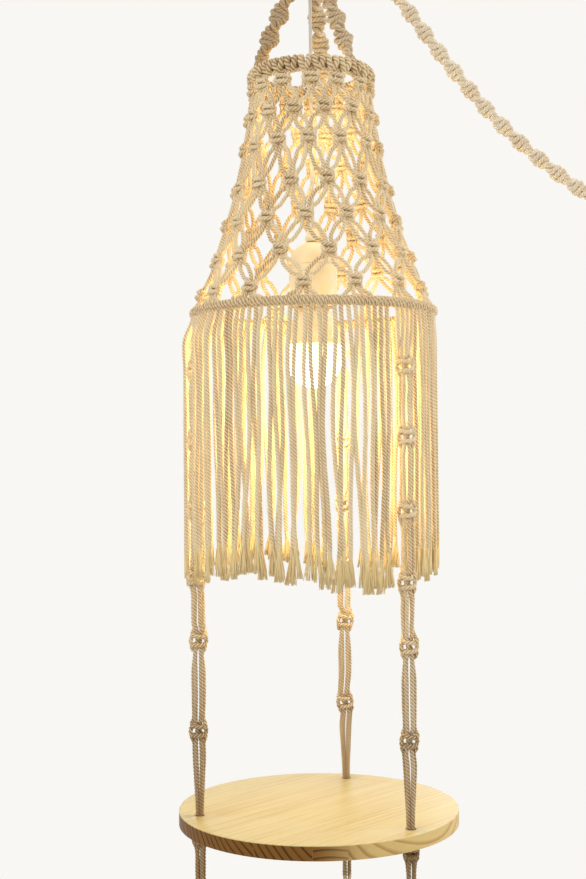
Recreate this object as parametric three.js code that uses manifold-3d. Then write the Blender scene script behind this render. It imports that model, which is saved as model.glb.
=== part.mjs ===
// Hanging rope shelf: a round board on three knotted ropes, below a knotted lamp shade with a long fringe.
// Millimetres, +Z up. The origin is the point of the hanging ring that rests on its hook.
// The front faces -Y. Angles go round from the front towards +X.
import * as THREE from "three";
import { mergeVertices } from "three/addons/utils/BufferGeometryUtils.js";
import Module from "manifold-3d";

const wasm = await Module();
wasm.setup();

// Driving dimensions
const CLEARANCE = 0.3; // left between two pieces that touch
const CORD = 5.5; // cotton cord, across
const HANGER_ANGLE = 45.5; // degrees, of the right hanger; the others follow a third of a turn apart
const HANGERS = ["right", "rear", "left"];

// Hanging ring, folded cords and gathering wrap
const RING_ROD = 6;
const RING_RADIUS = 25; // of the rod's centre line
const LOOP_SPACING = 6.6; // between the cord loops over the ring
const BUNDLE_RADIUS = 11.5;
const BUNDLE_TOP = 62; // below the origin
const GATHER_SHARE = 0.66; // how far the loops' legs draw together where the wrap begins
const WRAP_TURNS = 6;
const WRAP_TURN_GAP = 0.6; // between neighbouring turns

// Spiral sinnets
const SINNET_WIDE = 10; // half width across the lobes
const SINNET_NARROW = 4.4;
const SINNET_HALF_TURN = 28; // length of half a turn of the spiral
const SINNET_TOP_RADIUS = 9.8; // from the axis, just below the bundle

// Shade
const HOOP_ROD = 3;
const UPPER_HOOP_INSIDE = 120; // diameter
const LOWER_HOOP_INSIDE = 254; // diameter
const UPPER_HOOP_DROP = 228; // below the origin
const SHADE_HEIGHT = 256; // from hoop to hoop
const HITCH_RADIUS = 5.7; // outside of the cords hitched round a hoop, from the rod's centre
const HITCH_BORE = 2.5; // room for the rod
const FRINGE_LENGTH = 281; // below the lower hoop
const GORES = 7;
const COLUMNS_PER_GORE = 2;
const FLARE_SHARE = 0.35; // of the flare that grows evenly with height
const FLARE_POWER = 2.2; // of the rest, which opens towards the lower hoop
const ROW_SHARES = [0.064, 0.186, 0.318, 0.4875, 0.634, 0.777, 0.913]; // of the shade's height
const NET_TURN = -5.5; // degrees, of a column of the first row from the front

// Square knots of the net, and the pairs of cords between them
const KNOT_HALF_WIDTH = 7.6;
const KNOT_HALF_HEIGHT = 6;
const KNOT_HALF_DEPTH = 4.8;
const PAIR_WIDTH = 9.4;
const PAIR_DEPTH = 5;

// Fringe
const FRINGE_CORDS_PER_GORE = 16;
const HANGER_ROOM = 7.7; // degrees at each side of a hanger rope, kept free of fringe cords
const FRINGE_SPREAD = 1.5; // how far the ends hang out from the hoop's line
const FRINGE_UNEVEN = 8; // how much longer or shorter the ends are cut

// Hanger ropes
const HANGER_LENGTH = 531; // from the lower hoop down to the shelf
const HANGER_KNOT_SHARES = [0.119, 0.256, 0.396, 0.531, 0.654]; // of that length, on the upper stretch
const LOWER_KNOT_SHARE = 0.832;
const ROPE_HALF_WIDTH = 6.4;
const ROPE_HALF_DEPTH = 4.4;
const ROPE_KNOT_HALF_WIDTH = 8.6;
const ROPE_KNOT_HALF_DEPTH = 5.4;
const ROPE_KNOT_HALF_HEIGHT = 7;
const ROPE_NECK = 3; // length over which a rope widens into its knot
const PIVOT_BALL = 4.5; // radius of the rounded ends on which the lower stretches turn
const BALL_SHARES = [0.96, 0.7, 0.3]; // of that radius, heights of the rings that round an end

// Shelf
const SHELF_RADIUS = 150;
const SHELF_THICKNESS = 15;
const SHELF_EDGE = 1.5; // eased edge
const SHELF_HOLE = 5.4; // radius
const HOLE_MARGIN = 20; // from the rim in to the circle through the holes and ropes
const PLUG_RADIUS = 4.8; // rope inside the hole
const STOPPER_HALF_WIDTH = 9;
const STOPPER_HALF_DEPTH = 6;
const STOPPER_HEIGHT = 15;
const TAIL_LENGTH = 92;
const TAIL_SPREAD = 2.6; // how far a tail's end moves out from the rope's centre

// Lamp
const FLEX = 3.7; // diameter
const FLEX_BEVEL_SHARE = 0.3; // of its radius, at the rounded top
const GRIP_DROP = 392; // top of the cord grip, below the origin
const GRIP_HEIGHT = 14;
const GRIP_TOP_RADIUS = 5;
const GRIP_FOOT_RADIUS = 8;
const CAP_HEIGHT = 26;
const HOLDER_RADIUS = 26;
const HOLDER_WALL = 2.2;
const SKIRT_HEIGHT = 45;
const SKIRT_TAPER = 1;
const CARRIER_HEIGHT = 11;
const CONTACT_HEIGHT = 3;
const CONTACT_RADIUS = 3.5;
const SLEEVE_RADIUS = 14.1; // inside of the threaded sleeve
const SLEEVE_WALL = 0.8;
const SLEEVE_HEIGHT = 22;
const BULB_CAP_RADIUS = 13.2;
const BULB_CAP_HEIGHT = 26;
const BULB_THREAD_DEPTH = 0.7;
const BULB_THREAD_PITCH = 3.6;
const BULB_THREADS = 5;
const BULB_PIP_RADIUS = 4;
const BULB_PIP_HEIGHT = 2;
const HOUSING_HEIGHT = 45;
const BULB_RADIUS = 30;
const DIFFUSER_SKIRT = 16; // height of the wide part of the diffuser above its dome
const DIFFUSER_WALL = 1.5;
const BOARD_THICKNESS = 1.6;

// Swag rope: a hand-chosen route, X and Z
const SWAG_RADIUS = 8.5;
const SWAG_ROUTE = [
  [27.4, -42.4],
  [34, -51.5],
  [50, -73.5],
  [67, -97],
  [84, -121],
  [101, -145],
  [119, -169.5],
  [137, -194],
  [155.5, -218],
  [174.5, -241.5],
  [194.5, -265],
  [215.5, -287],
  [237.5, -308],
  [260.5, -328],
  [284, -347],
  [308, -365.5],
  [328, -380.5],
];
const EYE_ANGLE = -30; // degrees round the hanging ring, from +X
const EYE_RADIUS = 6.4; // of the centre line of the cord eye
const END_RING_ROD = 4;
const END_RING_RADIUS = 13;

// Derived places, all heights measured up from the origin
const ringCentre = new THREE.Vector3(0, 0, RING_ROD / 2 - RING_RADIUS);
const barHeight = ringCentre.z - RING_RADIUS;
const wrapPitch = CORD + WRAP_TURN_GAP;
const bundleFoot = -BUNDLE_TOP - WRAP_TURNS * wrapPitch - CORD;
const upperHoopRadius = (UPPER_HOOP_INSIDE + HOOP_ROD) / 2;
const lowerHoopRadius = (LOWER_HOOP_INSIDE + HOOP_ROD) / 2;
const upperHoopHeight = -UPPER_HOOP_DROP;
const lowerHoopHeight = upperHoopHeight - SHADE_HEIGHT;
const columns = GORES * COLUMNS_PER_GORE;
const columnAngle = 360 / columns;
const goreAngle = 360 / GORES;
const hitchMiddle = (HITCH_RADIUS + HITCH_BORE) / 2;
const hangerKnotHeights = HANGER_KNOT_SHARES.map((share) => lowerHoopHeight - share * HANGER_LENGTH);
const upperRopeFoot = hangerKnotHeights[hangerKnotHeights.length - 1] - ROPE_KNOT_HALF_HEIGHT;
const upperPivot = upperRopeFoot - CLEARANCE - PIVOT_BALL;
const hangerCircle = SHELF_RADIUS - HOLE_MARGIN;
const shelfTop = lowerHoopHeight - HANGER_LENGTH;
const lowerPivot = shelfTop + CLEARANCE + PIVOT_BALL;
const shelfFoot = shelfTop - SHELF_THICKNESS;
const gripTop = -GRIP_DROP;
const capTop = gripTop - GRIP_HEIGHT;
const skirtTop = capTop - CAP_HEIGHT;
const carrierTop = skirtTop - CLEARANCE;
const contactTop = carrierTop - CARRIER_HEIGHT - CLEARANCE;
const bulbTop = contactTop - CONTACT_HEIGHT - CLEARANCE;
const housingTop = bulbTop - BULB_CAP_HEIGHT - CLEARANCE;
const boardTop = housingTop - HOUSING_HEIGHT - CLEARANCE;

// Finishes
const finishes = {
  cotton: { color: 0xe6dccb, roughness: 0.95, metalness: 0 },
  steel: { color: 0xb4b6b8, roughness: 0.35, metalness: 1 },
  pine: { color: 0xd9b57c, roughness: 0.6, metalness: 0 },
  plastic: { color: 0xf2efe8, roughness: 0.4, metalness: 0 },
  brass: { color: 0xc6a04c, roughness: 0.35, metalness: 1 },
  glow: { color: 0xfff3d0, roughness: 0.5, metalness: 0 },
};

// Directions
const east = new THREE.Vector3(1, 0, 0);
const north = new THREE.Vector3(0, 1, 0);
const up = new THREE.Vector3(0, 0, 1);

// Small helpers

function radians(degrees) {
  return (degrees * Math.PI) / 180;
}

// A point at a radius and an angle from the front.
function around(radius, angle, height) {
  return new THREE.Vector3(radius * Math.sin(radians(angle)), -radius * Math.cos(radians(angle)), height);
}

function tangentAt(angle) {
  return new THREE.Vector3(Math.cos(radians(angle)), Math.sin(radians(angle)), 0);
}

function outwardAt(angle) {
  return new THREE.Vector3(Math.sin(radians(angle)), -Math.cos(radians(angle)), 0);
}

// A closed surface from points and triangles, turned to face outwards.
function closed(points, triangles) {
  let volume = 0;
  for (let i = 0; i < triangles.length; i += 3) {
    const [a, b, c] = triangles.slice(i, i + 3).map((n) => points[n]);
    volume += a.dot(b.clone().cross(c));
  }
  const faces = [];
  for (let i = 0; i < triangles.length; i += 3) {
    const [a, b, c] = triangles.slice(i, i + 3);
    faces.push(a, ...(volume > 0 ? [b, c] : [c, b]));
  }
  const geometry = new THREE.BufferGeometry();
  geometry.setAttribute("position", new THREE.Float32BufferAttribute(points.flatMap((p) => p.toArray()), 3));
  geometry.setIndex(faces);
  return geometry;
}

// A solid through rings of points that all have the same count.
function loft(rings) {
  const count = rings[0].length;
  const last = (rings.length - 1) * count;
  const triangles = [];
  for (let i = 0; i < count; i++) {
    const next = (i + 1) % count;
    for (let start = 0; start < last; start += count) {
      triangles.push(start + i, start + next, start + count + next);
      triangles.push(start + i, start + count + next, start + count + i);
    }
    if (i > 0 && next > 0) {
      triangles.push(0, next, i);
      triangles.push(last, last + i, last + next);
    }
  }
  return closed(rings.flat(), triangles);
}

// A ring of points round a centre, in the plane of two unit directions.
function ovalRing(centre, across, deep, halfWidth, halfDepth, sides) {
  return Array.from({ length: sides }, (_, i) => {
    const angle = (2 * Math.PI * i) / sides;
    return centre
      .clone()
      .addScaledVector(across, halfWidth * Math.cos(angle))
      .addScaledVector(deep, halfDepth * Math.sin(angle));
  });
}

function toSolid(geometry) {
  const bare = geometry.clone();
  bare.deleteAttribute("normal");
  bare.deleteAttribute("uv");
  const merged = mergeVertices(bare);
  return new wasm.Manifold(
    new wasm.Mesh({
      numProp: 3,
      vertProperties: merged.attributes.position.array,
      triVerts: new Uint32Array(merged.index.array),
    }),
  );
}

function toGeometry(solid) {
  const mesh = solid.getMesh();
  const geometry = new THREE.BufferGeometry();
  const places = [];
  for (let i = 0; i < mesh.numVert; i++) {
    places.push(...mesh.vertProperties.subarray(i * mesh.numProp, i * mesh.numProp + 3));
  }
  geometry.setAttribute("position", new THREE.Float32BufferAttribute(places, 3));
  geometry.setIndex(Array.from(mesh.triVerts));
  return geometry;
}

function join(geometries) {
  return toGeometry(geometries.map(toSolid).reduce((whole, piece) => whole.add(piece)));
}

function circlePath(centre, radius, count, Kind) {
  const path = new Kind();
  for (let i = 0; i < count; i++) {
    const angle = (2 * Math.PI * i) / count;
    const x = centre.x + radius * Math.cos(angle);
    const y = centre.y + radius * Math.sin(angle);
    if (i === 0) path.moveTo(x, y);
    else path.lineTo(x, y);
  }
  path.closePath();
  return path;
}

function meshOf(name, geometry, finish) {
  geometry.computeVertexNormals();
  const material = new THREE.MeshStandardMaterial(finishes[finish]);
  const mesh = new THREE.Mesh(geometry, material);
  mesh.name = name;
  return mesh;
}

// A turned piece. Its profile of radius and height runs up the outside.
function turned(profile, segments = 18) {
  const outline = profile.map(([radius, height]) => new THREE.Vector2(radius, height));
  if (profile[0][0] > 0) outline.push(outline[0].clone());
  return new THREE.LatheGeometry(outline, segments).rotateX(Math.PI / 2);
}

// A rod bent into a full ring, in the plane of two unit directions.
function rodRing(centre, across, along, radius, rod, segments, sides) {
  const place = new THREE.Matrix4().makeBasis(across, along, across.clone().cross(along)).setPosition(centre);
  return new THREE.TorusGeometry(radius, rod / 2, sides, segments).applyMatrix4(place);
}

// A straight round cord between two points.
function cordBetween(start, end, sides) {
  const run = end.clone().sub(start);
  const turn = new THREE.Quaternion().setFromUnitVectors(north, run.clone().normalize());
  const geometry = new THREE.CylinderGeometry(CORD / 2, CORD / 2, run.length(), sides);
  const middle = start.clone().addScaledVector(run, 1 / 2);
  return geometry.applyQuaternion(turn).translate(middle.x, middle.y, middle.z);
}

// Hanging ring and the cords folded over it

function hangingRing() {
  return rodRing(ringCentre, east, up, RING_RADIUS, RING_ROD, 20, 6);
}

// One cord laid over the bar of the ring, with both legs down into the bundle.
function cordLoop(offset) {
  const rise = RING_RADIUS - Math.sqrt(RING_RADIUS ** 2 - offset ** 2);
  const sag = RING_RADIUS - Math.sqrt(RING_RADIUS ** 2 - (Math.abs(offset) + CORD / 2) ** 2) - rise;
  const centre = new THREE.Vector3(offset, 0, barHeight + rise);
  const reach = RING_ROD / 2 + CLEARANCE + sag + CORD / 2;
  const rings = [];
  const bend = (angle) => new THREE.Vector3(0, reach * Math.cos(angle), reach * Math.sin(angle));
  const legFoot = (angle) =>
    new THREE.Vector3(
      -offset * (1 - GATHER_SHARE),
      reach * GATHER_SHARE * Math.cos(angle),
      -BUNDLE_TOP - CLEARANCE - centre.z,
    );
  const stops = [legFoot(0)];
  for (let i = 0; i <= 6; i++) stops.push(bend((Math.PI * i) / 6));
  stops.push(legFoot(Math.PI));
  stops.forEach((stop, i) => {
    const turn = THREE.MathUtils.clamp((Math.PI * (i - 1)) / 6, 0, Math.PI);
    const away = new THREE.Vector3(0, Math.cos(turn), Math.sin(turn));
    rings.push(ovalRing(centre.clone().add(stop), away, east, CORD / 2, CORD / 2, 5));
  });
  return loft(rings);
}

function cordBundle() {
  const core = turned([
    [0, bundleFoot],
    [BUNDLE_RADIUS, bundleFoot],
    [BUNDLE_RADIUS, -BUNDLE_TOP],
    [0, -BUNDLE_TOP],
  ]);
  return join([core, ...[-1, 0, 1].map((n) => cordLoop(n * LOOP_SPACING))]);
}

// One cord wound round the bundle in an unbroken helix.
function gatheringWrap() {
  const radius = BUNDLE_RADIUS + CLEARANCE + CORD / 2;
  const stepsPerTurn = 24;
  const steps = WRAP_TURNS * stepsPerTurn;
  const centres = [];
  for (let i = 0; i <= steps; i++) {
    const height = bundleFoot + CORD / 2 + (wrapPitch * (steps - i)) / stepsPerTurn;
    centres.push(around(radius, (360 * i) / stepsPerTurn, height));
  }
  let gap = Infinity;
  centres.forEach((here, i) => {
    centres.slice(i + stepsPerTurn / 2).forEach((there) => {
      gap = Math.min(gap, here.distanceTo(there) - CORD);
    });
  });
  console.log("gathering wrap: least gap between its turns " + gap.toFixed(2) + " mm");
  return loft(
    centres.map((centre, i) => {
      const outward = outwardAt((360 * i) / stepsPerTurn);
      return ovalRing(centre, outward, up, CORD / 2, CORD / 2, 6);
    }),
  );
}

// Spiral half-knot sinnet from the bundle out to the upper hoop.
function sinnet(angle) {
  const start = around(SINNET_TOP_RADIUS, angle, bundleFoot - CLEARANCE);
  const end = around(upperHoopRadius, angle, upperHoopHeight + HITCH_RADIUS + CLEARANCE);
  const run = end.clone().sub(start);
  const steps = Math.round((5 * run.length()) / SINNET_HALF_TURN);
  const across = tangentAt(angle);
  const slanted = across.clone().cross(run).normalize();
  const level = outwardAt(angle);
  const rings = [];
  for (let i = 0; i <= steps; i++) {
    const share = i / steps;
    const centre = start.clone().addScaledVector(run, share);
    const ending = i === 0 || i === steps;
    const deep = ending ? level.clone().multiplyScalar(Math.sign(slanted.dot(level))) : slanted;
    const turn = (Math.PI * share * run.length()) / SINNET_HALF_TURN;
    const wide = ending ? SINNET_NARROW : SINNET_WIDE;
    const along = across.clone().multiplyScalar(Math.cos(turn)).addScaledVector(deep, Math.sin(turn));
    const beside = deep.clone().multiplyScalar(Math.cos(turn)).addScaledVector(across, -Math.sin(turn));
    rings.push(ovalRing(centre, along, beside, wide, SINNET_NARROW, 6));
  }
  return loft(rings);
}

// Shade

function hoop(radius, height) {
  return rodRing(new THREE.Vector3(0, 0, height), east, north, radius, HOOP_ROD, 42, 4);
}

function shadeRadius(height) {
  const share = (upperHoopHeight - height) / SHADE_HEIGHT;
  const flare = FLARE_SHARE * share + (1 - FLARE_SHARE) * Math.max(share, 0) ** FLARE_POWER;
  return upperHoopRadius + (lowerHoopRadius - upperHoopRadius) * flare;
}

// The unit normal of the shade at an angle and a height.
function shadeNormal(angle, height) {
  const reach = CORD;
  const slope = (shadeRadius(height - reach) - shadeRadius(height + reach)) / (2 * reach);
  return outwardAt(angle).addScaledVector(up, slope).normalize();
}

// The knots of the net: row 0 is the highest, and odd rows lie half a column round.
function knotPlace(row, column) {
  const angle = NET_TURN + (column + (row % 2) / 2) * columnAngle;
  const height = upperHoopHeight - ROW_SHARES[row] * SHADE_HEIGHT;
  const centre = around(shadeRadius(height), angle, height);
  return { angle, height, centre, normal: shadeNormal(angle, height) };
}

// The four corners where a pair of cords leaves a knot or ends.
function pairEnd(centre, direction, normal) {
  const side = normal.clone().cross(direction).normalize();
  const corner = (s, n) =>
    centre
      .clone()
      .addScaledVector(side, (s * PAIR_WIDTH) / 2)
      .addScaledVector(normal, (n * PAIR_DEPTH) / 2);
  return {
    frontFirst: corner(-1, 1),
    frontLast: corner(1, 1),
    backFirst: corner(-1, -1),
    backLast: corner(1, -1),
  };
}

class NetMesh {
  constructor() {
    this.points = [];
    this.triangles = [];
  }

  point(place) {
    this.points.push(place);
    return this.points.length - 1;
  }

  end(corners) {
    return Object.fromEntries(Object.entries(corners).map(([key, place]) => [key, this.point(place)]));
  }

  quad(a, b, c, d) {
    this.triangles.push(a, b, c, a, c, d);
  }

  // Closes a knot where no pair leaves it.
  capKnot(p) {
    this.quad(p.frontLast, p.frontFirst, p.backFirst, p.backLast);
  }

  // Closes the free end of a pair.
  capPair(q) {
    this.quad(q.frontFirst, q.frontLast, q.backLast, q.backFirst);
  }

  // A flat pair of cords between two ends that face each other.
  strand(p, q) {
    this.quad(p.frontFirst, q.frontLast, q.frontFirst, p.frontLast);
    this.quad(p.frontLast, q.frontFirst, q.backFirst, p.backLast);
    this.quad(p.backLast, q.backFirst, q.backLast, p.backFirst);
    this.quad(p.backFirst, q.backLast, q.frontLast, p.frontFirst);
  }

  // A knot with four ends, given in turn from upper right to lower right.
  knot(place, ends) {
    const front = this.point(place.centre.clone().addScaledVector(place.normal, KNOT_HALF_DEPTH));
    const back = this.point(place.centre.clone().addScaledVector(place.normal, -KNOT_HALF_DEPTH));
    const loop = ends.flatMap((p) => [
      [p.frontFirst, p.backFirst],
      [p.frontLast, p.backLast],
    ]);
    loop.forEach(([frontHere, backHere], i) => {
      const [frontNext, backNext] = loop[(i + 1) % loop.length];
      this.triangles.push(front, frontHere, frontNext, back, backNext, backHere);
      if (i % 2 === 1) this.quad(frontHere, backHere, backNext, frontNext);
    });
  }
}

// The column in the next row that lies to one side of a knot.
function neighbourColumn(row, column, side) {
  if (row % 2 === 0) return side > 0 ? column : column - 1;
  return side > 0 ? column + 1 : column;
}

// Where the pair from a knot points: the next knot, or a hoop beyond the first and last rows.
function neighbourPlace(row, column, step, side) {
  const next = row + step;
  if (next >= 0 && next < ROW_SHARES.length) return knotPlace(next, neighbourColumn(row, column, side));
  const here = knotPlace(row, column);
  const angle = here.angle + (side * columnAngle) / 4;
  const height = step < 0 ? upperHoopHeight - hitchMiddle : lowerHoopHeight + HITCH_RADIUS + CLEARANCE;
  const radius = step < 0 ? upperHoopRadius : lowerHoopRadius;
  return { angle, height, centre: around(radius, angle, height), normal: outwardAt(angle), hoop: true };
}

// Upper right, upper left, lower left, lower right: the order goes round a knot seen from outside.
const CORNERS = [
  [-1, 1],
  [-1, -1],
  [1, -1],
  [1, 1],
];

function knotEnd(place, target) {
  const across = tangentAt(place.angle);
  const down = place.normal.clone().cross(across).negate();
  const towards = target.centre.clone().sub(place.centre);
  const side = Math.sign(towards.dot(across));
  const fall = Math.sign(towards.dot(down));
  const centre = place.centre
    .clone()
    .addScaledVector(across, side * (KNOT_HALF_WIDTH - PAIR_WIDTH / 3))
    .addScaledVector(down, fall * (KNOT_HALF_HEIGHT - PAIR_WIDTH / 6));
  const direction = target.centre.clone().sub(centre);
  direction.addScaledVector(place.normal, -direction.dot(place.normal)).normalize();
  return pairEnd(centre, direction, place.normal);
}

// An end of a pair at a hoop lies level, square to the hoop.
function hoopEnd(target, step) {
  return pairEnd(target.centre, up.clone().multiplyScalar(step), outwardAt(target.angle));
}

// The end of a pair that stops just short of a knot of the next gore.
function shortEnd(knot, from) {
  const corners = knotEnd(knot, from);
  const middle = corners.frontFirst.clone().add(corners.backLast).multiplyScalar(1 / 2);
  const back = from.centre.clone().sub(middle).normalize().multiplyScalar(CLEARANCE);
  return Object.fromEntries(Object.entries(corners).map(([key, place]) => [key, place.clone().add(back)]));
}

// A gore owns its columns: the knots of the even rows, and of the odd rows those to their left.
function netGore(gore) {
  const net = new NetMesh();
  const first = gore * COLUMNS_PER_GORE;
  const owned = new Map();
  ROW_SHARES.forEach((_, row) => {
    for (let c = 0; c < COLUMNS_PER_GORE; c++) {
      const column = first + c - (row % 2);
      const place = knotPlace(row, column);
      const ends = CORNERS.map(([step, side]) => {
        return net.end(knotEnd(place, neighbourPlace(row, column, step, side)));
      });
      net.knot(place, ends);
      owned.set(row + ":" + column, { place, ends });
    }
  });
  owned.forEach(({ place, ends }, key) => {
    const [row, column] = key.split(":").map(Number);
    CORNERS.forEach(([step, side], i) => {
      const target = neighbourPlace(row, column, step, side);
      if (target.hoop) {
        const stop = net.end(hoopEnd(target, step));
        net.strand(ends[i], stop);
        net.capPair(stop);
        return;
      }
      const other = owned.get(row + step + ":" + neighbourColumn(row, column, side));
      if (other && step > 0) {
        const facing = CORNERS.findIndex(([s, d]) => s === -step && d === -side);
        net.strand(ends[i], other.ends[facing]);
      }
      if (other) return;
      if (row % 2 === 0) {
        const stop = net.end(shortEnd(target, place));
        net.strand(ends[i], stop);
        net.capPair(stop);
      } else {
        net.capKnot(ends[i]);
      }
    });
  });
  const middle = NET_TURN + (first + (COLUMNS_PER_GORE - 1) / 2) * columnAngle;
  return join([hitchBand(upperHoopRadius, upperHoopHeight, middle), closed(net.points, net.triangles)]);
}

class HoopArc extends THREE.Curve {
  constructor(radius, height, middle, width) {
    super();
    Object.assign(this, { radius, height, middle, width });
  }

  getPoint(share) {
    return around(this.radius, this.middle + (share - 1 / 2) * this.width, this.height);
  }
}

// The cords hitched round a hoop, over one gore's width, with the rod's bore left open.
function hitchBand(radius, height, middle) {
  const room = (CLEARANCE / radius) * (180 / Math.PI);
  const centre = new THREE.Vector2(0, 0);
  const section = circlePath(centre, HITCH_RADIUS, 6, THREE.Shape);
  section.holes.push(circlePath(centre, HITCH_BORE, 4, THREE.Path));
  return new THREE.ExtrudeGeometry(section, {
    steps: 6,
    extrudePath: new HoopArc(radius, height, middle, goreAngle - room),
  });
}

function nearestTurn(angle, other) {
  return Math.abs(((((angle - other) % 360) + 540) % 360) - 180);
}

// A slice of the lower hitches with the loose cords that hang from it.
function fringePanel(gore) {
  const middle = NET_TURN + (gore * COLUMNS_PER_GORE + (COLUMNS_PER_GORE - 1) / 2) * columnAngle;
  const pieces = [hitchBand(lowerHoopRadius, lowerHoopHeight, middle)];
  const pitch = goreAngle / FRINGE_CORDS_PER_GORE;
  for (let i = 0; i < FRINGE_CORDS_PER_GORE; i++) {
    const angle = middle + (i - (FRINGE_CORDS_PER_GORE - 1) / 2) * pitch;
    const free = HANGERS.every((_, n) => nearestTurn(angle, HANGER_ANGLE + 120 * n) > HANGER_ROOM);
    if (!free) continue;
    const uneven = Math.sin(radians(3 * angle)) + Math.sin(radians(37 * angle)) / 2;
    const foot = lowerHoopHeight - FRINGE_LENGTH - uneven * FRINGE_UNEVEN;
    const top = around(lowerHoopRadius, angle, lowerHoopHeight - hitchMiddle);
    const end = around(lowerHoopRadius + FRINGE_SPREAD, angle, foot);
    pieces.push(cordBetween(top, end, 4));
  }
  return join(pieces);
}

// Hanger ropes

// Rings of a rope from one height down to another, wide at its knots.
function ropeRings(angle, stops) {
  const across = tangentAt(angle);
  const deep = outwardAt(angle);
  return stops.map(([height, halfWidth, halfDepth]) => {
    return ovalRing(around(hangerCircle, angle, height), across, deep, halfWidth, halfDepth, 6);
  });
}

// A knot's rings: neck, body and neck again.
function knotStops(height) {
  return [
    [height + ROPE_KNOT_HALF_HEIGHT + ROPE_NECK, ROPE_HALF_WIDTH, ROPE_HALF_DEPTH],
    [height + ROPE_KNOT_HALF_HEIGHT / 2, ROPE_KNOT_HALF_WIDTH, ROPE_KNOT_HALF_DEPTH],
    [height - ROPE_KNOT_HALF_HEIGHT / 2, ROPE_KNOT_HALF_WIDTH, ROPE_KNOT_HALF_DEPTH],
    [height - ROPE_KNOT_HALF_HEIGHT, ROPE_HALF_WIDTH, ROPE_HALF_DEPTH],
  ];
}

// Four cords come down from the hitches and are knotted into one rope.
function hangerUpper(angle) {
  const rope = loft(ropeRings(angle, hangerKnotHeights.flatMap(knotStops)));
  const foot = hangerKnotHeights[0] + ROPE_KNOT_HALF_HEIGHT / 2;
  const head = lowerHoopHeight - HITCH_RADIUS - CLEARANCE;
  const cords = [-3, -1, 1, 3].map((n) => {
    const spread = (n * goreAngle) / FRINGE_CORDS_PER_GORE / 2;
    const top = around(lowerHoopRadius, angle + spread, head);
    const end = around(hangerCircle, angle, foot).addScaledVector(tangentAt(angle), (n * CORD) / 3);
    return cordBetween(top, end, 4);
  });
  return join([rope, ...cords]);
}

// Quarter rings that round an end into half a ball.
function ballStops(centreHeight, turn) {
  return BALL_SHARES.map((share) => {
    const height = centreHeight + turn * PIVOT_BALL * share;
    const radius = PIVOT_BALL * Math.sqrt(1 - share ** 2);
    return [height, radius, radius];
  });
}

function hangerLower(angle) {
  return loft(
    ropeRings(angle, [
      ...ballStops(upperPivot, 1),
      [upperPivot - 2 * PIVOT_BALL, ROPE_HALF_WIDTH, ROPE_HALF_DEPTH],
      ...knotStops(lowerHoopHeight - LOWER_KNOT_SHARE * HANGER_LENGTH),
      [lowerPivot + 4 * PIVOT_BALL, ROPE_HALF_WIDTH, ROPE_HALF_DEPTH],
      [lowerPivot + PIVOT_BALL, PIVOT_BALL, PIVOT_BALL],
      ...ballStops(lowerPivot, -1).reverse(),
    ]),
  );
}

// Shelf

function shelfDisc() {
  const shape = circlePath(new THREE.Vector2(0, 0), SHELF_RADIUS - SHELF_EDGE, 60, THREE.Shape);
  HANGERS.forEach((_, n) => {
    const centre = around(hangerCircle, HANGER_ANGLE + 120 * n, 0);
    shape.holes.push(circlePath(centre, SHELF_HOLE + SHELF_EDGE, 12, THREE.Path));
  });
  const geometry = new THREE.ExtrudeGeometry(shape, {
    depth: SHELF_THICKNESS - 2 * SHELF_EDGE,
    bevelEnabled: true,
    bevelThickness: SHELF_EDGE,
    bevelSize: SHELF_EDGE,
    bevelSegments: 1,
  });
  return geometry.translate(0, 0, shelfFoot + SHELF_EDGE);
}

// The rope inside its hole, the stopper knot under the shelf and the four loose tails.
function stopperAndTail(angle) {
  const knotTop = shelfFoot - CLEARANCE;
  const knotFoot = knotTop - STOPPER_HEIGHT;
  const body = loft(
    ropeRings(angle, [
      [shelfTop, PLUG_RADIUS, PLUG_RADIUS],
      [knotTop, PLUG_RADIUS, PLUG_RADIUS],
      [knotTop, STOPPER_HALF_WIDTH, STOPPER_HALF_DEPTH],
      [knotTop - STOPPER_HEIGHT / 2, STOPPER_HALF_WIDTH, STOPPER_HALF_DEPTH],
      [knotFoot, ROPE_HALF_WIDTH, ROPE_HALF_DEPTH],
    ]),
  );
  const tails = [0, 1, 2, 3].map((n) => {
    const turn = (Math.PI * (2 * n + 1)) / 4;
    const along = tangentAt(angle).multiplyScalar(Math.cos(turn));
    along.addScaledVector(outwardAt(angle), Math.sin(turn));
    const start = around(hangerCircle, angle, knotFoot + STOPPER_HEIGHT / 3);
    start.addScaledVector(along, CORD / 2);
    const end = start.clone().addScaledVector(along, TAIL_SPREAD).setZ(knotFoot - TAIL_LENGTH);
    return cordBetween(start, end, 4);
  });
  return join([body, ...tails]);
}

// Lamp

function lampFlex() {
  const top = bundleFoot - CLEARANCE;
  const foot = skirtTop + CLEARANCE;
  const radius = FLEX / 2;
  const bevel = radius * FLEX_BEVEL_SHARE;
  return turned(
    [
      [0, foot],
      [radius, foot],
      [radius, top - radius],
      [radius - bevel, top - bevel],
      [0, top],
    ],
    8,
  );
}

function cordGrip() {
  const bore = FLEX / 2 + CLEARANCE;
  return turned(
    [
      [bore, capTop + CLEARANCE],
      [GRIP_FOOT_RADIUS, capTop + CLEARANCE],
      [GRIP_FOOT_RADIUS, capTop + GRIP_HEIGHT / 3],
      [GRIP_TOP_RADIUS, gripTop],
      [bore, gripTop],
    ],
    16,
  );
}

// Domed cap, open below, with a hole for the flex.
function holderCap() {
  const hole = FLEX / 2 + CLEARANCE;
  const inner = HOLDER_RADIUS - HOLDER_WALL;
  const wall = (radius, height) =>
    [0, 1, 2, 3, 4].map((i) => {
      const turn = (Math.PI / 2) * (i / 4);
      return [Math.max(radius * Math.cos(turn), hole), skirtTop + height * Math.sin(turn)];
    });
  return turned([...wall(HOLDER_RADIUS, CAP_HEIGHT), ...wall(inner, CAP_HEIGHT - HOLDER_WALL).reverse()]);
}

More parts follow.
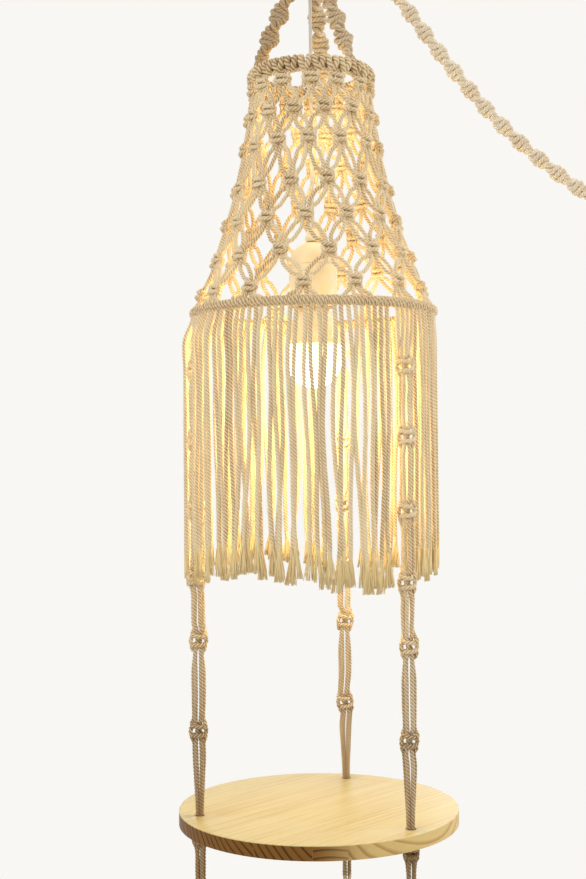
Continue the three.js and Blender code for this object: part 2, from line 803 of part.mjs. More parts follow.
function holderSkirt() {
  const top = skirtTop - CLEARANCE;
  const foot = top - SKIRT_HEIGHT;
  return turned([
    [HOLDER_RADIUS - SKIRT_TAPER, foot],
    [HOLDER_RADIUS, top],
    [HOLDER_RADIUS - HOLDER_WALL, top],
    [HOLDER_RADIUS - HOLDER_WALL - SKIRT_TAPER, foot],
  ]);
}

function contactCarrier() {
  const radius = HOLDER_RADIUS - HOLDER_WALL - CLEARANCE - SKIRT_TAPER;
  return turned([
    [0, carrierTop - CARRIER_HEIGHT],
    [radius, carrierTop - CARRIER_HEIGHT],
    [radius, carrierTop],
    [0, carrierTop],
  ]);
}

function centreContact() {
  return turned(
    [
      [0, contactTop - CONTACT_HEIGHT],
      [CONTACT_RADIUS / 2, contactTop - CONTACT_HEIGHT],
      [CONTACT_RADIUS, contactTop],
      [0, contactTop],
    ],
    12,
  );
}

function threadedSleeve() {
  return turned([
    [SLEEVE_RADIUS, contactTop - SLEEVE_HEIGHT],
    [SLEEVE_RADIUS + SLEEVE_WALL, contactTop - SLEEVE_HEIGHT],
    [SLEEVE_RADIUS + SLEEVE_WALL, contactTop],
    [SLEEVE_RADIUS, contactTop],
  ]);
}

function bulbScrewCap() {
  const shoulder = bulbTop - BULB_PIP_HEIGHT;
  const foot = bulbTop - BULB_CAP_HEIGHT;
  const profile = [
    [0, foot],
    [BULB_CAP_RADIUS, foot],
  ];
  for (let i = BULB_THREADS; i > 0; i--) {
    const crest = shoulder - BULB_THREAD_PITCH * i;
    profile.push([BULB_CAP_RADIUS, crest]);
    profile.push([BULB_CAP_RADIUS - BULB_THREAD_DEPTH, crest + BULB_THREAD_PITCH / 2]);
  }
  profile.push([BULB_CAP_RADIUS - BULB_PIP_HEIGHT, shoulder]);
  profile.push([BULB_PIP_RADIUS + BULB_PIP_HEIGHT, shoulder]);
  profile.push([BULB_PIP_RADIUS, bulbTop]);
  profile.push([0, bulbTop]);
  return turned(profile, 16);
}

function bulbHousing() {
  const profile = [[0, housingTop - HOUSING_HEIGHT]];
  const steps = 4;
  for (let i = steps; i >= 0; i--) {
    const swell = Math.sin((Math.PI / 2) * (i / steps));
    const radius = BULB_CAP_RADIUS + (BULB_RADIUS - BULB_CAP_RADIUS) * swell;
    profile.push([radius, housingTop - (HOUSING_HEIGHT * i) / steps]);
  }
  profile.push([0, housingTop]);
  return turned(profile);
}

function lightBoard() {
  const radius = BULB_RADIUS - DIFFUSER_WALL - 2 * CLEARANCE;
  return turned([
    [0, boardTop - BOARD_THICKNESS],
    [radius, boardTop - BOARD_THICKNESS],
    [radius, boardTop],
    [0, boardTop],
  ]);
}

// Thin domed shell, open above where it meets the housing.
function bulbDiffuser() {
  const top = boardTop;
  const centre = top - DIFFUSER_SKIRT;
  const wall = (radius) => {
    const profile = [[0, centre - radius]];
    for (let i = 3; i >= 0; i--) {
      const turn = (Math.PI / 2) * (i / 4);
      profile.push([radius * Math.cos(turn), centre - radius * Math.sin(turn)]);
    }
    return [...profile, [radius, top]];
  };
  return turned([...wall(BULB_RADIUS), ...wall(BULB_RADIUS - DIFFUSER_WALL).reverse()]);
}

// Swag rope with its eye on the hanging ring and a ring at the far end

function swagPoints() {
  return SWAG_ROUTE.map(([x, z]) => new THREE.Vector3(x, 0, z));
}

function swagCord() {
  return new THREE.ExtrudeGeometry(circlePath(new THREE.Vector2(0, 0), SWAG_RADIUS, 10, THREE.Shape), {
    steps: 14,
    extrudePath: new THREE.CatmullRomCurve3(swagPoints()),
  });
}

function swagEye() {
  const turn = radians(EYE_ANGLE);
  const centre = ringCentre
    .clone()
    .addScaledVector(east, RING_RADIUS * Math.cos(turn))
    .addScaledVector(up, RING_RADIUS * Math.sin(turn));
  const [start, next] = swagPoints();
  const along = next.clone().sub(start).normalize();
  return rodRing(centre, along, north, EYE_RADIUS, CORD, 14, 6);
}

function swagEndRing() {
  const points = swagPoints();
  const end = points[points.length - 1];
  const along = end.clone().sub(points[points.length - 2]).normalize();
  const centre = end.clone().addScaledVector(along, CLEARANCE + END_RING_ROD / 2 + END_RING_RADIUS);
  return rodRing(centre, along, north.clone().cross(along), END_RING_RADIUS, END_RING_ROD, 18, 6);
}

// The whole object

const shelf = new THREE.Group();

function add(name, geometry, finish) {
  shelf.add(meshOf(name, geometry, finish));
}

add("hanging_ring", hangingRing(), "steel");
add("cord_bundle", cordBundle(), "cotton");
add("gathering_wrap", gatheringWrap(), "cotton");
add("upper_hoop", hoop(upperHoopRadius, upperHoopHeight), "steel");
add("lower_hoop", hoop(lowerHoopRadius, lowerHoopHeight), "steel");
for (let gore = 0; gore < GORES; gore++) {
  add("net_gore_" + (gore + 1), netGore(gore), "cotton");
  add("fringe_panel_" + (gore + 1), fringePanel(gore), "cotton");
}
HANGERS.forEach((side, n) => {
  const angle = HANGER_ANGLE + 120 * n;
  add("sinnet_" + side, sinnet(angle), "cotton");
  add("hanger_upper_" + side, hangerUpper(angle), "cotton");
  add("hanger_lower_" + side, hangerLower(angle), "cotton");
  add("stopper_" + side, stopperAndTail(angle), "cotton");
});
add("shelf_disc", shelfDisc(), "pine");
add("lamp_flex", lampFlex(), "plastic");
add("cord_grip", cordGrip(), "plastic");
add("holder_cap", holderCap(), "plastic");
add("holder_skirt", holderSkirt(), "plastic");
add("contact_carrier", contactCarrier(), "plastic");
add("centre_contact", centreContact(), "brass");
add("threaded_sleeve", threadedSleeve(), "brass");
add("bulb_screw_cap", bulbScrewCap(), "steel");
add("bulb_housing", bulbHousing(), "plastic");
add("light_board", lightBoard(), "plastic");
add("bulb_diffuser", bulbDiffuser(), "glow");
add("swag_cord", swagCord(), "cotton");
add("swag_eye", swagEye(), "cotton");
add("swag_end_ring", swagEndRing(), "steel");

export default shelf;
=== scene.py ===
"""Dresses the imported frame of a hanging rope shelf: its cords, knots, board, lamp and stage."""

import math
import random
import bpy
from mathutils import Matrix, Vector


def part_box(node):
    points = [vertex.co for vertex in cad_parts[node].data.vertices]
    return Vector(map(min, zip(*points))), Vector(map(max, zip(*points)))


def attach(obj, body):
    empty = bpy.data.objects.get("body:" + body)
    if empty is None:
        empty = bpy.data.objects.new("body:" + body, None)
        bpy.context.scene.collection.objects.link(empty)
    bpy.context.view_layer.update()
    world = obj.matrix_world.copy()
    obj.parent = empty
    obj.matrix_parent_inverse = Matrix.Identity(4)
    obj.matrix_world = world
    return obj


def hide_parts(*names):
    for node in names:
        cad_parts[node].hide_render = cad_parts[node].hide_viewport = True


bl_info = {
    "name": "Hanging rope shelf",
    "version": (1, 0, 0),
    "blender": (4, 5, 0),
    "location": "View3D > Sidebar > Rope Shelf",
    "description": "Makes the knotted cords, board, lamp and stage of a hanging rope shelf",
    "category": "Object",
}

import bmesh
import bpy
import numpy as np
from bpy.props import FloatProperty, FloatVectorProperty, IntProperty, PointerProperty
from mathutils import Matrix, Vector

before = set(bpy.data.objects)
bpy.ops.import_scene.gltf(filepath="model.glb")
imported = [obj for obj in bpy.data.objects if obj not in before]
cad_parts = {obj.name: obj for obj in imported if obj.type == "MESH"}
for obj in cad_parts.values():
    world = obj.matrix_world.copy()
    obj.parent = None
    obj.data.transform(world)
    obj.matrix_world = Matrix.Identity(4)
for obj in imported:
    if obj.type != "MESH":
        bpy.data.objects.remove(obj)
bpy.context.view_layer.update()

# Lengths in this file are in millimetres, and become metres where a mesh is made.
MM = 0.001
CORD = 5.5
LAY = 11
STRANDS = 3
# The crest of a strand, as a share of the cord's radius, and the groove between tight strands
CREST_REACH = 1.04
TIGHT_GROOVE = 0.12
# The length of cord for which the map's V grows by 1
ALONG_MAP = 10
# A cord's width where its combed end starts, as a share, and the tone of the yarns there.
# Only yarns have tones above 1, which give them their own colour, paler and warmer: painted light of the bulb
# shining through the combed ends.
COMB_NECK = 0.85
YARN_TONE = 1.3
# Angles are in degrees from the front, towards the right.
HANGERS = {"right": 45.5, "rear": 165.5, "left": 285.5}

# Hanging ring and the cords on it
RING_CENTRE = -22
RING_RADIUS = 25
RING_ROD = 6
BUNDLE_TOP = -62
BUNDLE_FOOT = -104.1
WRAP_TURNS = 6
WRAP_STEPS = 24
WRAP_PITCH = 6.1
WRAP_RADIUS = 14.55
EYE_TURN = -30
EYE_RADIUS = 6.4
# Where each sinnet's spiral starts, in radians, and its tones at its head and foot. The rear sinnet's paler
# tone is painted light of the lamp inside the shade.
SINNET_STARTS = {"right": -0.6, "rear": 0.05, "left": 0.42}
SINNET_LAMP_LIGHT_TONES = {"right": (0, 0), "rear": (1, 1), "left": (0, 0)}

# Shade
UPPER_HOOP_RADIUS = 61.5
LOWER_HOOP_RADIUS = 128.5
UPPER_HOOP = -228
LOWER_HOOP = -484
HOOP_ROD = 3
GORES = 7
COLUMNS = 14
COLUMN_ANGLE = 360 / COLUMNS
NET_TURN = -5.5
# How far down from hoop to hoop each row of knots lies
ROW_SHARES = (0.064, 0.186, 0.318, 0.4875, 0.634, 0.777, 0.913)
# The shade widens in part evenly, and in part by a power of the way down.
FLARE_SHARE = 0.35
FLARE_POWER = 2.2
FRINGE_LENGTH = 281
# Cords of the fringe in each gore
FRINGE_CORDS = 16
FRINGE_PITCH = 360 / (GORES * FRINGE_CORDS)
# Degrees on each side of a hanger rope in which the fringe has no cord
HANGER_ROOM = 7.7
# The fringe stands out further on one side, about the angle FLARE_SIDE.
FRINGE_FLARE = 9
FLARE_SIDE = 268

# Hanger ropes and shelf
HANGER_CIRCLE = 130
UPPER_KNOTS = (-547.2, -619.9, -694.3, -766.0, -831.3)
LOWER_KNOT = -925.8
# Heights at the head of a rope's lower stretch, which starts in the last knot above it
LOWER_HEAD = (-837, -846, -864, -892)
SHELF_TOP = -1015
SHELF_FOOT = -1030
SHELF_MIDDLE = (SHELF_TOP + SHELF_FOOT) / 2
SHELF_RADIUS = 150
HOLE_RADIUS = 5.4
# The knots that stop the ropes under the board, and how tightly they are tied
STOPPER_KNOT = SHELF_FOOT - 8.6
STOPPER_TIGHTNESS = 0.82
TAIL_FOOT = -1137

# Lamp: the bore of its holder, and the heights of its parts
FLEX_TOP = -104.4
FLEX_FOOT = -431.5
FLEX_RADIUS = 1.85
BORE = 2.15
CAP_FOOT = -432
SLEEVE_FOOT = -465.6
SLEEVE_LENGTH = 22
THREAD_PITCH = 3.6
THREAD_DEPTH = 0.7
DIFFUSER_RIM = -534.5
GLOW_HEIGHTS = (-566, -520)

# Camera, in millimetres of film and degrees, with its place in metres
CAMERA_SENSOR = 24
CAMERA_LENS = 36.6
CAMERA_PLACE = (0, -1.45, -0.64)
CAMERA_RISE = 0.79
CAMERA_YAW = 0.93
CAMERA_ROLL = -0.6
# Floor: its radius, and where it fades out, in metres
FLOOR_RADIUS = 1.15
FLOOR_FADE = (0.55, 1.1)
# Studio lights, in metres and watts: name, place, height aimed at, size, power
STUDIO_LIGHTS = (
    ("key", (1.6, 0.35, 0.15), -0.6, 1.2, 12),
    ("fill", (-1.3, -1.5, 0.3), -0.6, 1.5, 10),
    ("back", (0.75, 1.6, -0.45), -0.9, 1.1, 2.6),
)

# Swag rope: the route of the CAD part, as X and Z
SWAG_ROUTE = (
    (27.4, -42.4), (34, -51.5), (50, -73.5), (67, -97), (84, -121), (101, -145),
    (119, -169.5), (137, -194), (155.5, -218), (174.5, -241.5), (194.5, -265),
    (215.5, -287), (237.5, -308), (260.5, -328), (284, -347), (308, -365.5), (328, -380.5),
)
# How far the cords hang below that route at its middle
SWAG_SLACK = 5


def srgb(red, green, blue):
    """A written colour, 0 to 255, as the linear numbers that shaders take."""
    shares = [c / 255 for c in (red, green, blue)]
    return tuple(s / 12.92 if s <= 0.04045 else ((s + 0.055) / 1.055) ** 2.4 for s in shares)


def length_property(name, description, length):
    return FloatProperty(name=name, description=description, default=length * MM, unit="LENGTH")


def colour_property(name, description, written):
    return FloatVectorProperty(
        name=name, description=description, subtype="COLOR", size=3, min=0, max=1, default=srgb(*written)
    )


class RopeShelfSizes(bpy.types.PropertyGroup):
    """Sizes that a maker may change within the frame."""

    cord_width: length_property("Cord width", "Across one cotton cord", CORD)
    lay: length_property("Lay", "Length of one full turn of a cord's strands", LAY)
    groove: FloatProperty(
        name="Groove", description="Depth between two strands, as a share of the radius", default=0.27,
        subtype="FACTOR", min=0, max=0.6,
    )
    ring_spacing: length_property("Ring spacing", "Between the rings of a cord's mesh", 1.3)
    fray: length_property("Fray", "Length that is combed out at a cord's end", 27)
    yarns: IntProperty(name="Yarns", description="Yarns in one combed end", default=36, min=3, max=60)
    edge: length_property("Board edge", "Rounding of the board's rim", 1.6)
    floor_height: length_property("Floor height", "Height of the floor, below the hook", -1500)


class RopeShelfColours(bpy.types.PropertyGroup):
    """Colours of the finishes."""

    # The crest colours are painted light on the strands, and the groove colours are painted shade between them.
    cotton_light: colour_property("Cotton, crest", "Outside of the strands", (253, 241, 208))
    cotton_mid: colour_property("Cotton", "The cord between crest and groove", (245, 219, 176))
    cotton_groove_shade: colour_property("Cotton, groove", "Between the strands", (164, 134, 92))
    # The swag's crest colour is painted light on its strands, and its groove colour is painted shade between
    # them.
    swag_light: colour_property("Swag, crest", "Outside of the strands of the swag rope", (254, 248, 232))
    swag_mid: colour_property("Swag", "The swag rope between crest and groove", (240, 222, 194))
    swag_groove_shade: colour_property("Swag, groove", "Between the strands of the swag rope", (170, 142, 110))
    # The combed ends are painted paler and warmer, as the bulb's light shining through them.
    cotton_ends_lamp_lit: colour_property("Combed ends", "Loose fibres at the ends of the fringe", (255, 232, 176))
    # Ropes and sinnets are the same cotton as the net, painted darker as painted shade of the thick bundles;
    # their crest colour is painted light and their groove colour painted shade.
    rope_crest_shaded: colour_property("Rope, crest", "Outside of the strands in ropes and sinnets", (240, 224, 194))
    rope_mid_shaded: colour_property("Rope", "Ropes and sinnets between crest and groove", (194, 166, 126))
    rope_groove_shade: colour_property("Rope, groove", "Between the strands of ropes and sinnets", (130, 102, 68))
    pine_pale: colour_property("Pine, early wood", "Broad pale part of a growth ring", (222, 203, 144))
    pine_band: colour_property("Pine, late wood", "Thin band of a growth ring on the face", (198, 164, 96))
    # The end grain colours are partly the wood's own darker end grain and partly painted shade of the rim's
    # front.
    pine_end_grain_shaded: colour_property("Pine, end grain", "Pale part of a ring on the rim", (132, 90, 36))
    pine_end_band_shaded: colour_property("Pine, end band", "Dark band of a ring on the rim", (72, 41, 10))
    # The plastic's cream tint is partly its own colour and partly painted warm light of the bulb.
    plastic: colour_property("Plastic", "Lamp holder, grip and flex", (252, 245, 224))
    steel: colour_property("Steel", "Rings and hoops", (188, 189, 190))
    brass: colour_property("Brass", "Contact and threaded sleeve", (201, 164, 84))
    glow: colour_property("Glow", "Light of the bulb", (255, 224, 140))
    floor: colour_property("Floor", "Floor and surroundings", (243, 241, 236))


# Places on the object


def outward_at(angle):
    turn = math.radians(angle)
    return np.array((math.sin(turn), -math.cos(turn), 0))


def tangent_at(angle):
    turn = math.radians(angle)
    return np.array((math.cos(turn), math.sin(turn), 0))


def up(height):
    return np.array((0, 0, height))


def around(radius, angle, height):
    """The place at a radius, at degrees from the front, and at a height."""
    return outward_at(angle) * radius + up(height)


def unit(vector):
    return vector / np.linalg.norm(vector)


def shade_radius(height):
    share = (UPPER_HOOP - height) / (UPPER_HOOP - LOWER_HOOP)
    flare = FLARE_SHARE * share + (1 - FLARE_SHARE) * max(share, 0) ** FLARE_POWER
    return UPPER_HOOP_RADIUS + (LOWER_HOOP_RADIUS - UPPER_HOOP_RADIUS) * flare


class Place:
    """A centre with its directions across, down and out, in which a knot's points are given."""

    def __init__(self, centre, across, out):
        self.centre = np.array(centre, float)
        self.across = unit(across)
        self.out = unit(out)
        self.down = -np.cross(self.out, self.across)

    def at(self, across, down, out):
        return self.centre + self.across * across + self.down * down + self.out * out

    def loosen(self, draw, shift, turn):
        """Moves and turns the place a little, as knots tied by hand differ."""
        self.centre = self.at(draw.uniform(-shift, shift), draw.uniform(-shift, shift), 0)
        lean = math.radians(draw.uniform(-turn, turn))
        self.across, self.down = (
            self.across * math.cos(lean) + self.down * math.sin(lean),
            self.down * math.cos(lean) - self.across * math.sin(lean),
        )


# The net hangs a little turned in its upper rows, and slack at the right in its lower rows.
ROW_TURNS = (4.6, 4.4, 4.0, 3.2, 1.6, 1.0, 0.4)
ROW_SAGS = (0, 0, 0.5, 1.5, 3, 5, 6)
SAG_SIDE = 322


def net_place(row, column):
    angle = NET_TURN + (column + (row % 2) / 2) * COLUMN_ANGLE
    sag = ROW_SAGS[row] * max(0, math.cos(math.radians(angle - SAG_SIDE))) ** 2
    height = UPPER_HOOP + ROW_SHARES[row] * (LOWER_HOOP - UPPER_HOOP) - sag
    angle += ROW_TURNS[row]
    slope = (shade_radius(height - CORD) - shade_radius(height + CORD)) / (2 * CORD)
    out = outward_at(angle) + np.array((0, 0, slope))
    place = Place(around(shade_radius(height), angle, height), tangent_at(angle), out)
    place.loosen(random.Random(100 * row + column % COLUMNS), 1.3, 7)
    place.angle = angle
    return place


# Meshes of cord


def reach_along(points):
    """How far along a line each of its points lies."""
    return np.concatenate([[0], np.cumsum(np.linalg.norm(np.diff(points, axis=0), axis=1))])


def blended(t, low, high, first, last):
    return ((high - t) * first + (t - low) * last) / (high - low)


def smooth_path(points, spacing):
    """Points evenly spaced along a smooth curve through the given ones, and how far along each lies."""
    p = np.array(points, float)
    p = np.vstack([2 * p[0] - p[1], p, 2 * p[-1] - p[-2]])
    chords = np.linalg.norm(np.diff(p, axis=0), axis=1)
    knots = np.concatenate([[0], np.cumsum(np.sqrt(np.maximum(chords, 1e-6)))])
    runs = []
    for i in range(1, len(p) - 2):
        t0, t1, t2, t3 = knots[i - 1 : i + 3]
        count = max(3, int(chords[i] / spacing * 2))
        t = np.linspace(t1, t2, count, endpoint=False)[:, None]
        a = blended(t, t0, t1, p[i - 1], p[i])
        b = blended(t, t1, t2, p[i], p[i + 1])
        c = blended(t, t2, t3, p[i + 1], p[i + 2])
        d = blended(t, t0, t2, a, b)
        e = blended(t, t1, t3, b, c)
        runs.append(blended(t, t1, t2, d, e))
    dense = np.vstack([*runs, p[-2:-1]])
    reach = reach_along(dense)
    stops = np.linspace(0, reach[-1], max(3, round(reach[-1] / spacing)) + 1)
    return np.stack([np.interp(stops, reach, dense[:, k]) for k in range(3)], axis=1), stops


def carried_frames(centres):
    """Directions across a path that turn as little as they can along it."""
    along = np.gradient(centres, axis=0)
    along /= np.linalg.norm(along, axis=1)[:, None]
    here = np.eye(3)[np.argmin(np.abs(along[0]))]
    side = np.empty_like(centres)
    for i, direction in enumerate(along):
        here = here - direction * (here @ direction)
        here = here / math.sqrt(here @ here)
        side[i] = here
    return side, np.cross(along, side)


class CordWork:
    """Gathers twisted cords and loose yarns into one mesh."""

    def __init__(self, name, sizes, seed):
        self.name = name
        self.sizes = sizes
        self.random = random.Random(seed)
        self.places, self.faces, self.maps, self.tones = [], [], [], []
        self.count = 0

    def tube(self, centres, stops, radii, profile, turns, around_share=1.0, tone=(0, 0), palest=1):
        """One closed tube: profile gives the section's shape, and turns how far it has twisted.

        The map's U goes round it, times around_share, and its V along it. Its tones, at its start
        and at its end, make it paler than its neighbours above 0, as painted light, and darker below, as
        painted shade.
        """
        rings, sides = len(centres), len(profile)
        side, other = carried_frames(centres)
        angle = 2 * math.pi * np.arange(sides)[None, :] / sides + np.asarray(turns)[:, None]
        reach = np.asarray(radii)[:, None] * np.asarray(profile)[None, :]
        across = (reach * np.cos(angle))[:, :, None] * side[:, None, :]
        over = (reach * np.sin(angle))[:, :, None] * other[:, None, :]
        self.places.append((centres[:, None, :] + across + over).reshape(-1, 3))

        ring, corner = np.meshgrid(np.arange(rings - 1), np.arange(sides), indexing="ij")
        here, following = ring * sides + corner, ring * sides + (corner + 1) % sides
        quads = np.stack([here, following, following + sides, here + sides], axis=-1)
        self.faces.extend((quads.reshape(-1, 4) + self.count).tolist())
        left, right = np.arange(sides) / sides, (np.arange(sides) + 1) / sides
        low, high = stops[:-1] / ALONG_MAP, stops[1:] / ALONG_MAP
        u = np.stack([left, right, right, left], axis=-1)[None] * around_share
        v = np.stack([low, low, high, high], axis=-1)[:, None]
        self.maps.append(np.stack(np.broadcast_arrays(u, v), axis=-1).reshape(-1, 2))

        last = self.count + (rings - 1) * sides
        self.faces.append([self.count + k for k in reversed(range(sides))])
        self.faces.append([last + k for k in range(sides)])
        self.maps.append(np.zeros((2 * sides, 2)))
        shades = self.random.random() + np.linspace(*tone, rings)
        self.tones.append(np.repeat(np.minimum(shades, palest), sides))
        self.count += rings * sides

    def cord(self, path, radius=None, fine=1, spacing=None, groove=None, tone=(0, 0), comb_from=None):
        """A three-strand cord along a path. It narrows from the share comb_from to its combed end."""
        groove = groove or self.sizes.groove
        radius = radius or self.sizes.cord_width / MM / 2
        centres, stops = smooth_path(path, spacing or self.sizes.ring_spacing / MM)
        sides = 2 * STRANDS * fine
        crest = np.abs(np.cos(STRANDS * math.pi * np.arange(sides) / sides)) ** 0.8
        profile = CREST_REACH - groove * (1 - crest)
        turns = self.random.uniform(0, 2 * math.pi) - 2 * math.pi * stops / (self.sizes.lay / MM)
        radii = np.full(len(centres), radius)
        if comb_from:
            radii = radii * np.interp(stops / stops[-1], (0, comb_from, 1), (1, 1, COMB_NECK))
        self.tube(centres, stops, radii, profile, turns, tone=tone)
        return centres

    def yarn(self, path, start_radius, end_radius):
        """One loose yarn: a thin tapered tube of three sides."""
        centres = np.array(path, float)
        radii = np.linspace(start_radius, end_radius, len(centres))
        straight = np.zeros(len(centres))
        self.tube(centres, reach_along(centres), radii, np.ones(3), straight, 0.1, (YARN_TONE, YARN_TONE), 3)

    def combed_end(self, start, direction, across, deep, length, spread):
        """The strands of a cord's end, combed out into a flat fan of yarns."""
        draw = self.random
        for _ in range(self.sizes.yarns):
            share = draw.uniform(-1, 1)
            depth = draw.uniform(-1, 1)
            reach = length * (1 - 0.16 * draw.random() ** 3)
            side = spread * (0.85 * share + 0.15 * draw.uniform(-1, 1))
            path = []
            for t in (-0.3, 0.0, 0.3, 0.65, 1):
                loose = max(t, 0)
                opening = 0.24 + 0.76 * loose**0.8
                path.append(
                    start
                    + direction * (reach * t)
                    + across * (side * opening + 0.5 * draw.uniform(-1, 1) * loose)
                    + deep * (depth * (1.7 - 0.3 * loose))
                )
            self.yarn(path, draw.uniform(0.65, 0.85), 0.4)

    def build(self):
        mesh = bpy.data.meshes.new(self.name)
        mesh.from_pydata(np.vstack(self.places) * MM, [], self.faces)
        layer = mesh.uv_layers.new(name="UVMap")
        layer.data.foreach_set("uv", np.vstack(self.maps).astype(np.float32).ravel())
        tone = mesh.attributes.new("tone", "FLOAT", "POINT")
        tone.data.foreach_set("value", np.concatenate(self.tones).astype(np.float32))
        mesh.polygons.foreach_set("use_smooth", np.ones(len(mesh.polygons), bool))
        mesh.update()
        piece = bpy.data.objects.new(self.name, mesh)
        bpy.context.scene.collection.objects.link(piece)
        return piece


# Knots, as the ways of the four cords through them: across, down and out

SQUARE_KNOT = {
    "left worker": (
        (-6.3, -8.4, 0.4), (-6.1, -5.4, 1.8), (-4.2, -3.6, 4.2), (0, -2.9, 5.2), (4.0, -2.6, 3.9),
        (6.2, -1.5, 0.6), (6.5, 0.8, 0.0), (4.7, 2.7, 3.2), (1.0, 3.2, 5.0), (-2.8, 3.1, 4.5),
        (-5.5, 3.2, 1.0), (-6.3, 5.2, -0.4), (-6.1, 8.4, 0.2),
    ),
    "left filler": ((-2.7, -8.4, 0.3), (-2.4, -4, 0), (-2.3, 0, 0), (-2.4, 4, 0), (-2.7, 8.4, 0.3)),
    "right filler": ((2.7, -8.4, 0.3), (2.4, -4, 0), (2.3, 0, 0), (2.4, 4, 0), (2.7, 8.4, 0.3)),
    "right worker": (
        (6.3, -8.4, 0.4), (6.5, -5.6, 2.4), (6.3, -2.8, 4.4), (5.2, -0.6, 0.8), (2.6, -0.9, -3.6),
        (-2.0, -1.1, -4.5), (-5.2, -1.2, -1.5), (-6.5, -0.4, 2.4), (-6.2, 2.6, 4.5),
        (-5.0, 4.9, 1.2), (-2.2, 4.5, -3.8), (2.2, 4.3, -4.5), (5.4, 4.5, -1.4), (6.5, 5.9, 0.8),
        (6.1, 8.4, 0.2),
    ),
}
# The way that a cord takes through its next knot, and the step to that knot's column from an even row
NEXT_KNOT = {
    "left worker": ("right filler", -1),
    "left filler": ("right worker", -1),
    "right filler": ("left worker", 0),
    "right worker": ("left filler", 0),
}
# The ways that leave a knot as the left cord of a pair
LEFT_OF_PAIR = ("left worker", "right filler")
# Degrees between the feet of a last-row knot's cords on the lower hoop
FOOT_SPREAD = 4.4
# Between two knots the cords of a pair bow apart: how far, and its share at three places on the way
PAIR_BOW = 3.3
BOW_SHARES = ((0.22, 0.9), (0.5, 1), (0.78, 0.9))
# How wide each row's knots are tied
KNOT_WIDTHS = (1.2, 1.07, 1.02, 1, 1, 1, 1)
NET_CORD_RADIUS = 2.4
# The tones of the hitches over the two hoops: painted shade, darker than the net's cords.
HEAD_PAINTED_SHADE = (-0.75, -0.75)
HITCH_PAINTED_SHADE = (-0.5, -0.5)
# Half of a cord's fold over the upper hoop: across, outward and up
HEAD_HALF = (
    (-1.5, 1.6, -8.4), (-2.2, 4.2, -5.2), (-3.8, 5.0, -1.6), (-4.1, 4.0, 2.0), (-4.0, 1.6, 4.6),
    (-3.8, -1.8, 4.7), (-3.5, -4.4, 1.6), (-3.3, -4.3, -2.4), (-2.2, -2.8, -5.4),
)
HEAD_RADIUS = 3.3


def net_cord(column, way, draw):
    """One cord of the net, from a first-row knot down to the lower hoop."""
    path = []
    for row, width in enumerate(KNOT_WIDTHS):
        place = net_place(row, column)
        points = [place.at(across * width, down, out) for across, down, out in SQUARE_KNOT[way]]
        if path:
            run = points[0] - path[-1]
            sideways = unit(np.cross(run, place.out))
            sideways *= np.sign(sideways @ place.across) * (-1 if from_left else 1)
            bow = sideways * PAIR_BOW * draw.uniform(0.8, 1.15)
            path += [path[-1] + run * share + bow * reach for share, reach in BOW_SHARES]
        path += points
        from_left = way in LEFT_OF_PAIR
        if row < len(KNOT_WIDTHS) - 1:
            way, step = NEXT_KNOT[way]
            column += step + row % 2
    angle = place.angle + (list(SQUARE_KNOT).index(way) - 1.5) * FOOT_SPREAD
    path.append(around(LOWER_HOOP_RADIUS - 1, angle, LOWER_HOOP + 5))
    path.append(around(LOWER_HOOP_RADIUS, angle, LOWER_HOOP + 1))
    return path


def hitched_head(angle):
    """A cord folded over the upper hoop, from its left leg to its right one."""
    centre = around(UPPER_HOOP_RADIUS, angle, UPPER_HOOP)
    left, right = (
        [centre + tangent_at(angle) * side * t + outward_at(angle) * n + up(z) for t, n, z in HEAD_HALF]
        for side in (1, -1)
    )
    bar = centre + outward_at(angle) * -2.4 + up(-6.6)
    return left + [bar] + right[::-1]


def near_hanger(angle):
    return any(abs((angle - hanger + 180) % 360 - 180) <= HANGER_ROOM for hanger in HANGERS.values())


# Finishes


def maths(operation, swapped=False):
    """A method that adds a Math node and gives its socket."""

    def method(self, *others):
        values = (*others, self) if swapped else (self, *others)
        return self.finish.node("ShaderNodeMath", {"operation": operation}, dict(enumerate(values)))

    return method


class Wire:
    """A socket of a finish, with the arithmetic of numbers."""

    def __init__(self, finish, socket):
        self.finish = finish
        self.socket = socket

    __add__ = __radd__ = maths("ADD")
    __mul__ = __rmul__ = maths("MULTIPLY")
    __sub__, __rsub__ = maths("SUBTRACT"), maths("SUBTRACT", swapped=True)
    __truediv__, __rtruediv__ = maths("DIVIDE"), maths("DIVIDE", swapped=True)
    __gt__ = maths("GREATER_THAN")
    __abs__ = maths("ABSOLUTE")
    fraction = maths("FRACT")
    cosine = maths("COSINE")
    root = maths("SQRT")
    larger = maths("MAXIMUM")

    def between(self, low, high):
        """0 at low and below, 1 at high and above, smooth between."""
        settings = {"interpolation_type": "SMOOTHSTEP"}
        return self.finish.node("ShaderNodeMapRange", settings, {0: self, 1: low, 2: high, 3: 0, 4: 1})


